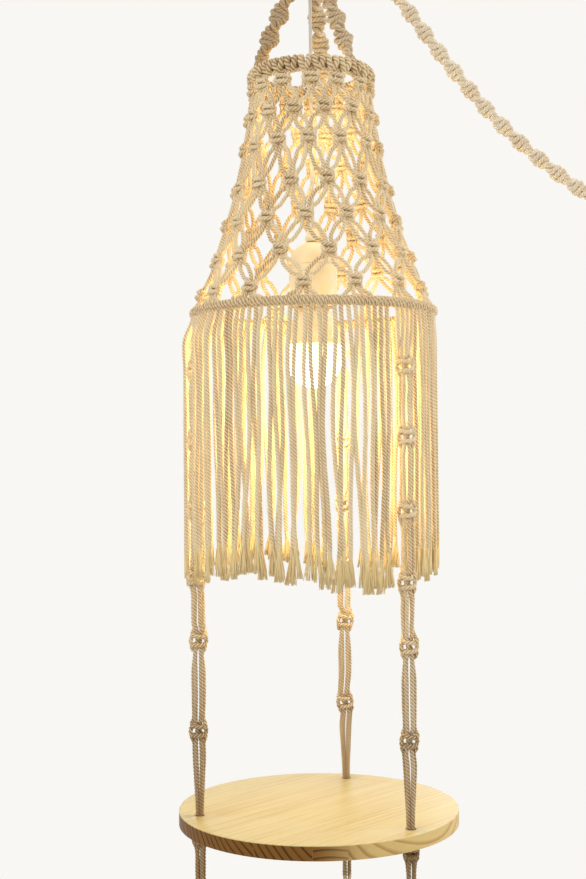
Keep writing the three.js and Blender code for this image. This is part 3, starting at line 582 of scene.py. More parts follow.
class Finish:
    """A material made of nodes, or the world."""

    def __init__(self, name, kind="materials"):
        self.block = getattr(bpy.data, kind).new(name)
        self.block.use_nodes = True
        self.tree = self.block.node_tree
        self.tree.nodes.clear()

    def node(self, kind, settings=None, inputs=None, output=0):
        """Adds a node: its settings first, then the values or links of its sockets."""
        made = self.tree.nodes.new(kind)
        for name, value in (settings or {}).items():
            if name == "stops":
                self.set_stops(made.color_ramp, value)
            else:
                setattr(made, name, value)
        for name, value in (inputs or {}).items():
            socket = made.inputs[name]
            if isinstance(value, Wire):
                self.tree.links.new(value.socket, socket)
            elif socket.type == "RGBA":
                socket.default_value = (*value, 1)
            else:
                socket.default_value = value
        return Wire(self, made.outputs[output])

    def set_stops(self, ramp, stops):
        while len(ramp.elements) > 1:
            ramp.elements.remove(ramp.elements[-1])
        for i, (place, shade) in enumerate(stops):
            stop = ramp.elements[0] if i == 0 else ramp.elements.new(place)
            stop.position = place
            stop.color = (*shade, 1)

    def outputs(self, kind, names, inputs=None):
        """Some outputs of one new node."""
        made = self.node(kind, inputs=inputs).socket.node
        return [Wire(self, made.outputs[name]) for name in names]

    def parts(self, vector):
        """The three numbers of a vector."""
        return self.outputs("ShaderNodeSeparateXYZ", range(3), {0: vector})

    def coordinates(self, output="Object"):
        return self.node("ShaderNodeTexCoord", output=output)

    def vector(self, x, y, z):
        return self.node("ShaderNodeCombineXYZ", inputs={0: x, 1: y, 2: z})

    def noise(self, vector, scale, detail=2, roughness=0.5):
        inputs = {"Vector": vector, "Scale": scale, "Detail": detail, "Roughness": roughness}
        return self.node("ShaderNodeTexNoise", inputs=inputs)

    def mix(self, share, first, second):
        """Two colours, mixed."""
        return self.node("ShaderNodeMix", {"data_type": "RGBA"}, {0: share, 6: first, 7: second}, output=2)

    def bump(self, height, distance, strength):
        inputs = {"Strength": strength, "Distance": distance, "Height": height}
        return self.node("ShaderNodeBump", inputs=inputs)

    def surface(self, **sockets):
        """The shader and the output; a socket's name is written with _ for its spaces."""
        inputs = {name.replace("_", " "): value for name, value in sockets.items()}
        return self.end(self.node("ShaderNodeBsdfPrincipled", inputs=inputs))

    def end(self, shader, kind="ShaderNodeOutputMaterial"):
        self.tree.links.new(shader.socket, self.tree.nodes.new(kind).inputs[0])
        return self.block


FINISHES = {}


def made_once(make):
    """Each finish is made at its first use, and kept for the next."""

    def finish(colours):
        name = make.__name__
        if name not in FINISHES:
            FINISHES[name] = make(colours)
        return FINISHES[name]

    return finish


def cotton(name, light, mid, groove, strand_shading, ends):
    """Three-strand cotton: crests and grooves from the UV map, with painted light on the crests and painted
    shade in the grooves, fibres along the strands.
    """
    finish = Finish(name)
    u, v, _ = finish.parts(finish.coordinates("UV"))
    place = finish.coordinates()
    crest = abs((u * (STRANDS * math.pi)).cosine())
    tone = finish.node("ShaderNodeAttribute", {"attribute_name": "tone"}, output=2)
    streak = finish.noise(finish.vector(u * 26, v * 1.6 + tone * 40, tone * 9), 1.0, 3, 0.65)
    fuzz = finish.noise(place, 900, 2, 0.6)
    blotch = finish.noise(place, 34)
    # The crest term paints light on the strands' crests and shade in their grooves. The tone term adds each
    # cord's random tone, and the painted light and shade of its tone offsets.
    level = (crest - 0.7) * strand_shading + (streak - 0.5) * 0.55 + (fuzz - 0.5) * 0.25 + (tone - 0.5) * 0.3
    level = level + (blotch - 0.5) * 0.3 + 0.58
    shades = {"stops": ((0.06, groove), (0.5, mid), (0.92, light))}
    colour = finish.node("ShaderNodeValToRGB", shades, {0: level})
    # Yarns of combed ends take a paler, warmer colour: painted light of the bulb shining through them.
    combed = finish.mix(streak.between(0.2, 0.5), srgb(255, 222, 164), ends)
    colour = finish.mix(tone.between(1.05, 1.25), colour, combed)
    return finish.surface(
        Base_Color=colour,
        Roughness=0.94,
        Normal=finish.bump(streak * 0.7 + fuzz * 0.15 + crest * 0.5, 0.0005, 0.55),
        Sheen_Weight=0.25,
        Sheen_Roughness=0.6,
        Specular_IOR_Level=0.2,
    )


@made_once
def cotton_finish(colours):
    shades = colours.cotton_light, colours.cotton_mid, colours.cotton_groove_shade
    return cotton("natural cotton cord", *shades, 0.6, colours.cotton_ends_lamp_lit)


@made_once
def sinnet_finish(colours):
    """Cotton pressed flat in tight knots, where the painted shade of its grooves shows less; its darker colours
    are painted shade of the thick sinnets.
    """
    shades = colours.rope_crest_shaded, colours.rope_mid_shaded, colours.rope_groove_shade
    return cotton("tightly knotted cotton", *shades, 0.3, colours.rope_crest_shaded)


@made_once
def rope_finish(colours):
    # The rope colours are the cotton painted darker, as painted shade.
    shades = colours.rope_crest_shaded, colours.rope_mid_shaded, colours.rope_groove_shade
    return cotton("cotton of the ropes", *shades, 0.72, colours.rope_crest_shaded)


@made_once
def swag_finish(colours):
    shades = colours.swag_light, colours.swag_mid, colours.swag_groove_shade
    return cotton("pale cotton cord", *shades, 0.3, colours.swag_light)


@made_once
def steel_finish(colours):
    finish = Finish("zinc plated steel")
    place = finish.coordinates()
    cloud = finish.noise(place, 160, 4, 0.6)
    colour = finish.mix(cloud.between(0.3, 0.7), colours.steel, srgb(150, 152, 154))
    normal = finish.bump(finish.noise(place, 1400), 0.00005, 0.4)
    return finish.surface(Base_Color=colour, Roughness=cloud * 0.25 + 0.22, Metallic=1.0, Normal=normal)


@made_once
def brass_finish(colours):
    finish = Finish("stamped brass")
    cloud = finish.noise(finish.coordinates(), 220, 3, 0.6)
    colour = finish.mix(cloud.between(0.35, 0.7), colours.brass, srgb(160, 122, 58))
    return finish.surface(Base_Color=colour, Roughness=cloud * 0.3 + 0.2, Metallic=1.0)


@made_once
def plastic_finish(colours):
    finish = Finish("white moulded plastic")
    place = finish.coordinates()
    grain = finish.noise(place, 2400)
    cloud = finish.noise(place, 60)
    # The cream tint is partly the plastic's own colour and partly painted warm light of the bulb.
    colour = finish.mix(cloud.between(0.35, 0.65), colours.plastic, srgb(247, 236, 206))
    normal = finish.bump(grain, 0.00004, 0.5)
    return finish.surface(Base_Color=colour, Roughness=grain * 0.12 + 0.32, Normal=normal)


@made_once
def flex_finish(colours):
    finish = Finish("white cable sheath")
    cloud = finish.noise(finish.coordinates(), 90)
    colour = finish.mix(cloud, srgb(226, 223, 214), srgb(212, 208, 198))
    return finish.surface(Base_Color=colour, Roughness=cloud * 0.1 + 0.42)


GRAIN_TURN = 48
# The edges of the staves, aside of the board's middle
STAVES = (-165, -119.5, -95.5, -43, 12, 64, 116, 170)
# The pith of each stave's tree, aside of the stave and above it, and the stave's tint
STAVE_PITHS = (
    (-104, 70, 0.35), (0, -46, 0.1), (-102, 62, 0.55), (-96, 74, 0.4), (-110, 58, 0.62), (-90, 80, 0.45),
    (-100, 66, 0.5),
)
# Between two growth rings
RING_WIDTH = 7.2


@made_once
def pine_finish(colours):
    """Glued staves of pine. The grain runs level, GRAIN_TURN from the X axis."""
    finish = Finish("oiled pine board")
    x, y, z = finish.parts(finish.coordinates())
    cos, sin = math.cos(math.radians(GRAIN_TURN)), math.sin(math.radians(GRAIN_TURN))
    along = (x * cos + y * sin) / MM
    aside = (y * cos - x * sin) / MM
    height = z / MM - SHELF_MIDDLE

    def grain(lengthwise, crosswise, detail=2, roughness=0.5):
        place = finish.vector(along * lengthwise, aside * crosswise, height * crosswise)
        return finish.noise(place, 1.0, detail, roughness)

    stave, seam = 0, 0
    for edge in STAVES[1:-1]:
        stave = (aside > edge) + stave
        seam = (1 - abs(aside - edge).between(0.05, 0.35)) + seam
    pith_aside, pith_height, tint = 0, 0, 0
    for i, (pith_reach, pith_rise, stave_tint) in enumerate(STAVE_PITHS):
        here = 1 - abs(stave - i).between(0.4, 0.6)
        pith_aside = here * ((STAVES[i] + STAVES[i + 1]) / 2 + pith_reach) + pith_aside
        pith_height = here * pith_rise + pith_height
        tint = here * stave_tint + tint
    wander = grain(0.004, 0.02)
    across = aside - pith_aside + (wander - 0.5) * 9
    above = height - pith_height
    ring = ((across * across + above * above).root() + (wander - 0.5) * 5) / RING_WIDTH
    saw = ring.fraction()
    band = saw.between(0.5, 0.86) * (1 - saw.between(0.88, 0.98))
    fibre = grain(0.03, 2.4, 3, 0.6)
    pores = grain(0.9, 3)
    cloud = grain(0.01, 0.05)
    streaks = finish.noise(finish.vector(along * 0.007, aside * 0.3 + stave * 5, height * 0.3), 1.0, 5, 0.62)
    lines = finish.noise(finish.vector(ring * 7, along * 0.02, stave), 1.0, 3, 0.6)

    face = band * 0.14 + (streaks - 0.5) * 1.5 + (fibre - 0.5) * 0.4 + (cloud - 0.5) * 0.4
    face = (face + (tint - 0.4) * 0.3 + 0.18).between(-0.1, 1.0)
    face = finish.mix(face, colours.pine_pale, colours.pine_band)
    # End grain on the rim: partly darker wood, and partly painted shade of the rim's front.
    end = band * 0.75 + (lines - 0.5) * 1.1 + (pores - 0.5) * 0.3 + (cloud - 0.5) * 0.5 + 0.16
    end = finish.mix(end.between(0.12, 1.0), colours.pine_end_grain_shaded, colours.pine_end_band_shaded)
    long_side = band * 0.55 + (fibre - 0.5) * 0.7 + (cloud - 0.5) * 0.5 + 0.14
    long_side = finish.mix(long_side.between(-0.1, 0.9), srgb(232, 205, 140), srgb(190, 150, 88))

    # The rim shows end grain where it faces along the grain, and long grain at its sides.
    facing = abs((x * cos + y * sin) / (SHELF_RADIUS * MM))
    side = finish.mix(facing.between(0.42, 0.8), long_side, end)
    below_top = 1 - (z / MM).between(SHELF_TOP - 1.1, SHELF_TOP - 0.5)
    outermost = ((x * x + y * y).root() / MM).between(SHELF_RADIUS - 2, SHELF_RADIUS - 1)
    rim = below_top * outermost
    colour = finish.mix(seam * 0.35, finish.mix(rim, face, side), srgb(176, 138, 78))
    return finish.surface(
        Base_Color=colour,
        Roughness=fibre * 0.2 + 0.36,
        Normal=finish.bump(fibre * 0.5 + pores * 0.3 - band * 0.15, 0.0003, 0.4),
        Coat_Weight=(1 - rim) * 0.5,
        Coat_Roughness=0.3,
        Specular_IOR_Level=0.15,
    )


@made_once
def glow_finish(colours):
    finish = Finish("lit opal diffuser")
    _, _, z = finish.parts(finish.coordinates())
    dome = (z / MM).between(*GLOW_HEIGHTS)
    return finish.surface(
        Base_Color=srgb(250, 246, 235),
        Roughness=0.35,
        Emission_Color=finish.mix(dome, srgb(255, 246, 222), tuple(colours.glow)),
        Emission_Strength=7.0,
    )


# Rigid pieces, shaped in edit mode


def deselect():
    if bpy.context.object and bpy.context.object.mode != "OBJECT":
        bpy.ops.object.mode_set(mode="OBJECT")
    bpy.ops.object.select_all(action="DESELECT")


def activate(piece):
    deselect()
    piece.select_set(True)
    bpy.context.view_layer.objects.active = piece


def apply_modifier(piece, kind, **settings):
    activate(piece)
    modifier = piece.modifiers.new(kind.title(), kind)
    for name, value in settings.items():
        setattr(modifier, name, value)
    bpy.ops.object.modifier_apply(modifier=modifier.name)


def spun(name, outline, steps=72, bevel=0.0, closed=True):
    """A turned piece, spun in edit mode from an outline of radius and height.

    A closed outline stays off the axis. An open one runs from axis to axis.
    """
    mesh = bpy.data.meshes.new(name)
    places = [(radius * MM, 0, height * MM) for radius, height in outline]
    edges = [(i, i + 1) for i in range(len(places) - 1)]
    if closed:
        edges.append((len(places) - 1, 0))
    mesh.from_pydata(places, edges, [])
    piece = bpy.data.objects.new(name, mesh)
    bpy.context.scene.collection.objects.link(piece)
    activate(piece)
    bpy.ops.object.mode_set(mode="EDIT")
    bpy.ops.mesh.select_all(action="SELECT")
    bpy.ops.mesh.spin(steps=steps, angle=2 * math.pi, center=(0, 0, 0), axis=(0, 0, 1))
    bpy.ops.mesh.select_all(action="SELECT")
    bpy.ops.mesh.remove_doubles(threshold=1e-6)
    bpy.ops.mesh.normals_make_consistent(inside=False)
    bpy.ops.object.mode_set(mode="OBJECT")
    if bevel:
        apply_modifier(piece, "BEVEL", width=bevel * MM, segments=3, limit_method="ANGLE", angle_limit=0.6)
    activate(piece)
    bpy.ops.object.shade_smooth_by_angle(angle=0.7)
    return piece


def welded_ring(name, centre, radius, rod, across, along, weld_turn, bead=0.14):
    """A rod bent into a ring, with the low bead of its weld."""
    deselect()
    bpy.ops.mesh.primitive_torus_add(
        major_radius=radius * MM, minor_radius=rod / 2 * MM, major_segments=120, minor_segments=18
    )
    piece = bpy.context.object
    piece.name = name
    piece.data.name = name
    for vertex in piece.data.vertices:
        x, y, z = vertex.co
        away = (math.atan2(y, x) - weld_turn + math.pi) % (2 * math.pi) - math.pi
        swell = 1 + bead * math.exp(-((away * radius / rod) ** 2) * 3)
        line = Vector((x, y, 0)).normalized() * radius * MM
        vertex.co = line + (vertex.co - line) * swell
    across, along = Vector(across), Vector(along)
    turn = Matrix((across, along, across.cross(along))).transposed().to_4x4()
    piece.data.transform(Matrix.Translation(Vector(centre) * MM) @ turn)
    piece.data.update()
    activate(piece)
    bpy.ops.object.shade_smooth()
    return piece


def dress(piece, body, material, slot, *nodes):
    """Gives a piece its finish, the body that it rides on and the CAD nodes that it stands for."""
    piece.data.materials.clear()
    piece.data.materials.append(material)
    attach(piece, body)
    if nodes:
        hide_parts(*nodes)
    return piece


def settings_of(context):
    return context.scene.rope_shelf_sizes, context.scene.rope_shelf_colours


class PieceOperator:
    """What the operators share."""

    bl_options = {"REGISTER", "UNDO"}


class ROPESHELF_OT_camera(PieceOperator, bpy.types.Operator):
    """Camera that looks at the object as the reference view does"""

    bl_idname = "rope_shelf.camera"
    bl_label = "Add camera"

    def execute(self, context):
        data = bpy.data.cameras.new("camera")
        data.sensor_fit = "VERTICAL"
        data.sensor_height = CAMERA_SENSOR
        data.lens = CAMERA_LENS
        camera = bpy.data.objects.new("camera", data)
        context.scene.collection.objects.link(camera)
        camera.location = CAMERA_PLACE
        rise = Matrix.Rotation(math.radians(90 + CAMERA_RISE), 4, "X")
        yaw = Matrix.Rotation(math.radians(CAMERA_YAW), 4, "Z")
        roll = Matrix.Rotation(math.radians(CAMERA_ROLL), 4, "Z")
        camera.rotation_euler = (yaw @ rise @ roll).to_euler()
        context.scene.camera = camera
        return {"FINISHED"}


def spiral_sinnet(
    work, axis, half_turn, pitch, wide, deep, start_turn, radius, plain=(0, 0), head_share=1.1, tone=(0, 0)
):
    """Half knots that spiral round a core: two working cords and two core cords along an axis.

    The spiral makes half a turn in each half_turn and a half knot in each pitch. The working
    cords run plain for two lengths, at the head and at the foot.
    """
    line, stops = smooth_path(axis, 1.0)
    side, other = carried_frames(line)
    total = stops[-1]
    low, high = plain[0], total - plain[1]

    def at(s, across, out):
        base, first, second = (
            np.array([np.interp(s, stops, rows[:, k]) for k in range(3)]) for rows in (line, side, other)
        )
        turn = start_turn + math.pi * s / half_turn
        x = math.cos(turn) * first + math.sin(turn) * second
        y = -math.sin(turn) * first + math.cos(turn) * second
        return base + x * across + y * out

    for strand, hand in ((0, 1), (1, -1)):
        path = []
        if plain[0]:
            path += [at(s, hand * 2.4, 0) for s in np.linspace(0, low - 3, 3)]
        for i in range(int((high - low) / pitch * 10) + 1):
            phi = math.pi * i / 10
            s = low + pitch / math.pi * (phi + 0.3 * math.sin(2 * phi))
            if s > high:
                break
            turn = phi + math.pi * strand
            slim = min(1, head_share + s / 130, head_share - 0.1 + (high - s) / 40)
            path.append(at(s, slim * wide * math.cos(turn), -deep * math.sin(turn)))
        if plain[1]:
            path += [at(s, hand * 2.6, 0) for s in np.linspace(high + 4, total, 4)]
        work.cord(path, radius=radius, fine=2, groove=TIGHT_GROOVE, tone=tone)
    for hand in (-1, 1):
        path = [at(s, hand * 2.7, 0) for s in np.linspace(0, total, int(total / 4))]
        work.cord(path, radius=radius * 1.05, groove=TIGHT_GROOVE, tone=tone)


class ROPESHELF_OT_swag(PieceOperator, bpy.types.Operator):
    """Swag rope with its eye on the hanging ring and the ring at its far end"""

    bl_idname = "rope_shelf.swag"
    bl_label = "Add swag rope"

    def execute(self, context):
        sizes, colours = settings_of(context)
        material = swag_finish(colours)
        head, foot = SWAG_ROUTE[0][0], SWAG_ROUTE[-1][0]
        route = np.array([
            (x, 0, z - SWAG_SLACK * math.sin(math.pi * (x - head) / (foot - head))) for x, z in SWAG_ROUTE
        ])
        work = CordWork("swag_rope", sizes, seed=3)
        spiral_sinnet(
            work, route, half_turn=26.4, pitch=5.8, wide=6.4, deep=2.9, start_turn=0.6, radius=2.75
        )
        rope = dress(work.build(), "hook_ring", material, "cotton", "swag_cord")

        turn = math.radians(EYE_TURN)
        centre = np.array((RING_RADIUS * math.cos(turn), 0, RING_CENTRE + RING_RADIUS * math.sin(turn)))
        along = unit(route[1] - route[0])
        sideways = np.array((0.0, 1.0, 0.0))
        work = CordWork("swag_rope_eye", sizes, seed=4)
        circle = [
            centre + EYE_RADIUS * (along * math.cos(a) + sideways * math.sin(a))
            for a in np.linspace(0, 2 * math.pi, 17)
        ]
        work.cord(circle, fine=2, spacing=0.9)
        eye = dress(work.build(), "hook_ring", material, "cotton", "swag_eye")

        low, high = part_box("swag_end_ring")
        across = Vector(unit(route[-1] - route[-2]))
        along = Vector(sideways).cross(across)
        ring = welded_ring("swag_far_ring", (low + high) / 2 / MM, 13, 4, across, along, 0.0)
        dress(ring, "hook_ring", steel_finish(colours), "steel", "swag_end_ring")
        return {"FINISHED"}


class ROPESHELF_OT_flex(PieceOperator, bpy.types.Operator):
    """White flex of the lamp, from the cord bundle down to the holder"""

    bl_idname = "rope_shelf.flex"
    bl_label = "Add lamp flex"

    def execute(self, context):
        sizes, colours = settings_of(context)
        work = CordWork("lamp_flex_cord", sizes, seed=5)
        centres, stops = smooth_path([up(z) for z in np.linspace(FLEX_TOP, FLEX_FOOT, 20)], 3.0)
        rings = len(centres)
        work.tube(centres, stops, np.full(rings, FLEX_RADIUS), np.ones(14), np.zeros(rings))
        flex = dress(work.build(), "lamp", flex_finish(colours), "white_plastic", "lamp_flex")
        return {"FINISHED"}


class ROPESHELF_OT_gathering(PieceOperator, bpy.types.Operator):
    """Hanging ring, the cords folded over it and the wrap that gathers them"""

    bl_idname = "rope_shelf.gathering"
    bl_label = "Add ring and gathering"

    def execute(self, context):
        sizes, colours = settings_of(context)
        material = rope_finish(colours)
        ring = welded_ring(
            "hanging_steel_ring", (0, 0, RING_CENTRE), RING_RADIUS, RING_ROD, (1, 0, 0), (0, 0, 1), 2.4
        )
        dress(ring, "hook_ring", steel_finish(colours), "steel", "hanging_ring")

        work = CordWork("folded_cords", sizes, seed=6)
        for offset in (-6.6, 0, 6.6):
            work.cord(self.folded(offset), fine=2, spacing=1.0)
        # Legs on the outside of the bundle, which the wrap holds together, and some in its core.
        for i in range(12):
            heights = ((8.2, BUNDLE_FOOT), (8.4, -80), (7.2, BUNDLE_TOP + 1))
            work.cord([around(radius, 30 * i, z) for radius, z in heights])
        for i in range(5):
            foot, top = around(3.4, 72 * i, BUNDLE_FOOT), around(3.4, 72 * i, BUNDLE_TOP + 2)
            work.cord([foot, (foot + top) / 2, top])
        dress(work.build(), "pendant", material, "cotton", "cord_bundle")

        work = CordWork("gathering_wrap_cord", sizes, seed=7)
        steps = WRAP_TURNS * WRAP_STEPS
        path = [around(WRAP_RADIUS - 5, -14, BUNDLE_TOP + 1.5)]
        for i in range(steps + 1):
            height = BUNDLE_FOOT + CORD / 2 + WRAP_PITCH * (steps - i) / WRAP_STEPS
            path.append(around(WRAP_RADIUS, 360 / WRAP_STEPS * i, height))
        path.append(around(WRAP_RADIUS - 5, 14, BUNDLE_FOOT + 1.5))
        work.cord(path, radius=2.95, fine=2, spacing=1.1)
        dress(work.build(), "pendant", material, "cotton", "gathering_wrap")
        return {"FINISHED"}

    def folded(self, offset):
        """A cord over the ring at an offset from its middle, with both its legs."""

        def ring_rise(aside):
            return RING_RADIUS - math.sqrt(RING_RADIUS**2 - aside**2)

        rise = ring_rise(offset)
        # The ring curves up under the outer side of a cord.
        outer = ring_rise(abs(offset) + CORD / 2)
        centre = np.array((offset, 0, RING_CENTRE - RING_RADIUS + rise))
        reach = RING_ROD / 2 + 0.5 + outer - rise + CORD / 2
        front, back = (
            [
                np.array((offset * draw * 0.8, way * reach * (0.55 + 0.4 * draw), z))
                for z, draw in ((BUNDLE_FOOT + 0.5, 1.15), (-80, 0.9), (-66, 0.8), (-58, 0.92))
            ]
            for way in (-1, 1)
        )
        over = [
            centre + np.array((0, reach * math.cos(a), reach * math.sin(a))) for a in np.linspace(0, math.pi, 9)
        ]
        return [*back, *over, *front[::-1]]


class ROPESHELF_OT_sinnets(PieceOperator, bpy.types.Operator):
    """Three spiral sinnets that carry the shade"""

    bl_idname = "rope_shelf.sinnets"
    bl_label = "Add sinnets"

    def execute(self, context):
        sizes, colours = settings_of(context)
        for side, angle in HANGERS.items():
            start = around(9.2, angle, BUNDLE_FOOT + 2)
            foot = around(UPPER_HOOP_RADIUS, angle, UPPER_HOOP + 2)
            axis = [start + (foot - start) * share for share in np.linspace(0, 1, 8)]
            work = CordWork("spiral_sinnet_" + side, sizes, seed=10 + int(angle))
            spiral_sinnet(
                work, axis, half_turn=28, pitch=5.5, wide=8.5, deep=3.2, start_turn=SINNET_STARTS[side],
                radius=2.8, plain=(4, 15), head_share=0.66, tone=SINNET_LAMP_LIGHT_TONES[side],
            )
            dress(work.build(), "pendant", sinnet_finish(colours), "cotton", "sinnet_" + side)
        return {"FINISHED"}


class ROPESHELF_OT_hoops(PieceOperator, bpy.types.Operator):
    """Steel hoops inside the hitches"""

    bl_idname = "rope_shelf.hoops"
    bl_label = "Add hoops"

    def execute(self, context):
        _, colours = settings_of(context)
        hoops = (("upper", UPPER_HOOP_RADIUS, UPPER_HOOP), ("lower", LOWER_HOOP_RADIUS, LOWER_HOOP))
        for name, radius, height in hoops:
            centre = (0, 0, height)
            ring = welded_ring(name + "_steel_hoop", centre, radius, HOOP_ROD, (1, 0, 0), (0, 1, 0), 2.0)
            dress(ring, "pendant", steel_finish(colours), "steel", name + "_hoop")
        return {"FINISHED"}


class ROPESHELF_OT_net(PieceOperator, bpy.types.Operator):
    """Knotted net of the shade: 28 cords hitched over the upper hoop, in seven gores"""

    bl_idname = "rope_shelf.net"
    bl_label = "Add net"

    def execute(self, context):
        sizes, colours = settings_of(context)
        for gore in range(GORES):
            work = CordWork(f"net_cords_{gore + 1}", sizes, seed=40 + gore)
            for column in (2 * gore, 2 * gore + 1):
                angle = NET_TURN + column * COLUMN_ANGLE
                head, side_head = hitched_head(angle), hitched_head(angle - COLUMN_ANGLE / 2)
                for fold in (head, side_head):
                    work.cord(fold, radius=HEAD_RADIUS, fine=2, spacing=1.0, tone=HEAD_PAINTED_SHADE)
                for start, knot, way in (
                    (head[0], column, "left filler"),
                    (head[-1], column, "right filler"),
                    (side_head[0], column - 1, "right worker"),
                    (side_head[-1], column, "left worker"),
                ):
                    work.cord([start, *net_cord(knot, way, work.random)], radius=NET_CORD_RADIUS)
            dress(work.build(), "pendant", cotton_finish(colours), "cotton", f"net_gore_{gore + 1}")
        return {"FINISHED"}


class ROPESHELF_OT_fringe(PieceOperator, bpy.types.Operator):
    """Hitches round the lower hoop, with the long fringe and its combed ends"""

    bl_idname = "rope_shelf.fringe"
    bl_label = "Add fringe"

    def execute(self, context):
        sizes, colours = settings_of(context)
        for gore in range(GORES):
            work = CordWork(f"fringe_cords_{gore + 1}", sizes, seed=60 + gore)
            middle = NET_TURN + (2 * gore + 0.5) * COLUMN_ANGLE
            self.hitches(work, middle)
            for i in range(FRINGE_CORDS):
                angle = middle + (i - (FRINGE_CORDS - 1) / 2) * FRINGE_PITCH
                if not near_hanger(angle):
                    self.fringe_cord(work, angle, sizes)
            dress(work.build(), "pendant", cotton_finish(colours), "cotton", f"fringe_panel_{gore + 1}")
        return {"FINISHED"}

    def hitches(self, work, middle):
        """Two turns round the hoop for each cord."""
        steps = 14
        rings = 2 * FRINGE_CORDS * steps
        path = []
        for i in range(rings + 1):
            turn = 2 * math.pi * i / steps
            angle = middle + 2 * COLUMN_ANGLE * (i / rings - 0.5)
            reach = 3.55 + 0.12 * math.sin(i * 1.7 / steps * 2 * math.pi)
            centre = around(LOWER_HOOP_RADIUS, angle, LOWER_HOOP)
            path.append(centre + outward_at(angle) * reach * math.cos(turn) + up(reach * math.sin(turn)))
        work.cord(path, radius=2.25, spacing=1.35, tone=HITCH_PAINTED_SHADE)

    def fringe_cord(self, work, angle, sizes):
        draw = work.random
        uneven = math.sin(math.radians(3 * angle)) + math.sin(math.radians(37 * angle)) / 2
        fray = sizes.fray / MM
        foot = LOWER_HOOP - FRINGE_LENGTH - uneven * 8 + fray
        top = LOWER_HOOP - 2.5
        start = draw.uniform(-1.7, 1.7)
        lean = draw.uniform(-6.5, 6.5)
        belly = draw.uniform(-4, 4)
        wave = draw.uniform(0, 2 * math.pi)
        depth = draw.uniform(-2.4, 2.4)
        flare = FRINGE_FLARE * max(0, math.cos(math.radians(angle - FLARE_SIDE))) ** 2
        path = [around(LOWER_HOOP_RADIUS + 0.5, angle, top + 1)]
        for share in (0.03, 0.1, 0.22, 0.36, 0.5, 0.64, 0.78, 0.9, 1):
            drift = start * min(share * 20, 1) + lean * share**1.7 + belly * math.sin(math.pi * share)
            drift += 1.5 * math.sin(wave + 8 * share) * min(share * 6, 1)
            radius = LOWER_HOOP_RADIUS + (1.6 + flare) * min(share * 10, 1) + depth * share
            path.append(around(radius, angle, top + (foot - top) * share) + tangent_at(angle) * drift)
        centres = work.cord(path, radius=2.6, comb_from=0.96)
        hang = unit(centres[-1] - centres[-8])
        work.combed_end(centres[-1], hang, tangent_at(angle), outward_at(angle), fray, 6.8)


def rope_place(angle, height):
    """The ropes' knots face the front."""
    return Place(around(HANGER_CIRCLE, angle, height), (1, 0, 0), (0, -1, 0))


# Where each cord stands in a rope, across and out
ROPE_SPAN = {
    "left worker": (-3.6, -2.2),
    "left filler": (-3.0, 2.4),
    "right filler": (3.0, 2.4),
    "right worker": (3.6, -2.2),
}
# Between two knots the outer cords bow away from the inner ones.
ROPE_BELLY = {
    "left worker": (-5.4, -1.8),
    "left filler": (-2.8, 2.1),
    "right filler": (2.8, 2.1),
    "right worker": (5.4, -1.8),
}
# The most degrees by which a rope is turned between two knots
ROPE_TURN = 24
# The ropes' knots are looser than the net's, with two eyes between their bars.
ROPE_KNOT = {
    "left worker": (
        (-5.2, -11.5, -1.6), (-6.8, -8.6, 0.6), (-6.8, -6.4, 2.6), (-4.0, -4.9, 4.4), (0, -4.4, 5.0),
        (4.4, -4.0, 4.0), (7.6, -2.6, 0.6), (8.1, 0.2, -0.4), (7.0, 3.0, 1.6), (4.0, 4.4, 4.2),
        (0, 4.8, 5.0), (-4.2, 4.8, 4.0), (-7.0, 5.8, 1.0), (-6.6, 8.6, -0.6), (-5.2, 11.5, -1.6),
    ),
    "left filler": ((-2.6, -11, 2.2), (-1.6, -5, 1.0), (-1.3, 0, 0.8), (-1.6, 5, 1.0), (-2.6, 11, 2.2)),
    "right filler": ((2.6, -11, 2.2), (1.6, -5, -0.6), (1.3, 0, -0.9), (1.6, 5, -0.6), (2.6, 11, 2.2)),
    "right worker": (
        (5.2, -11.5, -1.6), (6.9, -8.4, 1.4), (7.8, -5.6, 3.4), (7.2, -3.6, 1.6), (4.0, -3.8, -3.4),
        (0, -4.0, -4.6), (-4.4, -3.8, -3.6), (-7.6, -3.2, 0.0), (-8.1, -0.8, 2.4), (-8.0, 2.2, 3.2),
        (-7.2, 4.4, 2.0), (-4.0, 4.6, -3.4), (0, 4.4, -4.6), (4.4, 4.6, -3.6), (7.2, 5.8, -0.2),
        (6.7, 8.6, 0.4), (5.2, 11.5, -1.6),
    ),
}
ROPE_CORD_RADIUS = 2.4
# The ropes are painted paler near the lamp, as painted lamp light, and darker towards the board and below it,
# as painted shade.
UPPER_PAINTED_SHADING = (0.7, -0.5)
LOWER_PAINTED_SHADING = {"right": (0.7, -0.6), "rear": (0.7, -0.6), "left": (0.4, -1.0)}
TAIL_PAINTED_SHADE = (-1.2, -1.2)


def rope_knot(place, way, tightness=1.0):
    return [place.at(a * tightness, d * tightness, o) for a, d, o in ROPE_KNOT[way]]


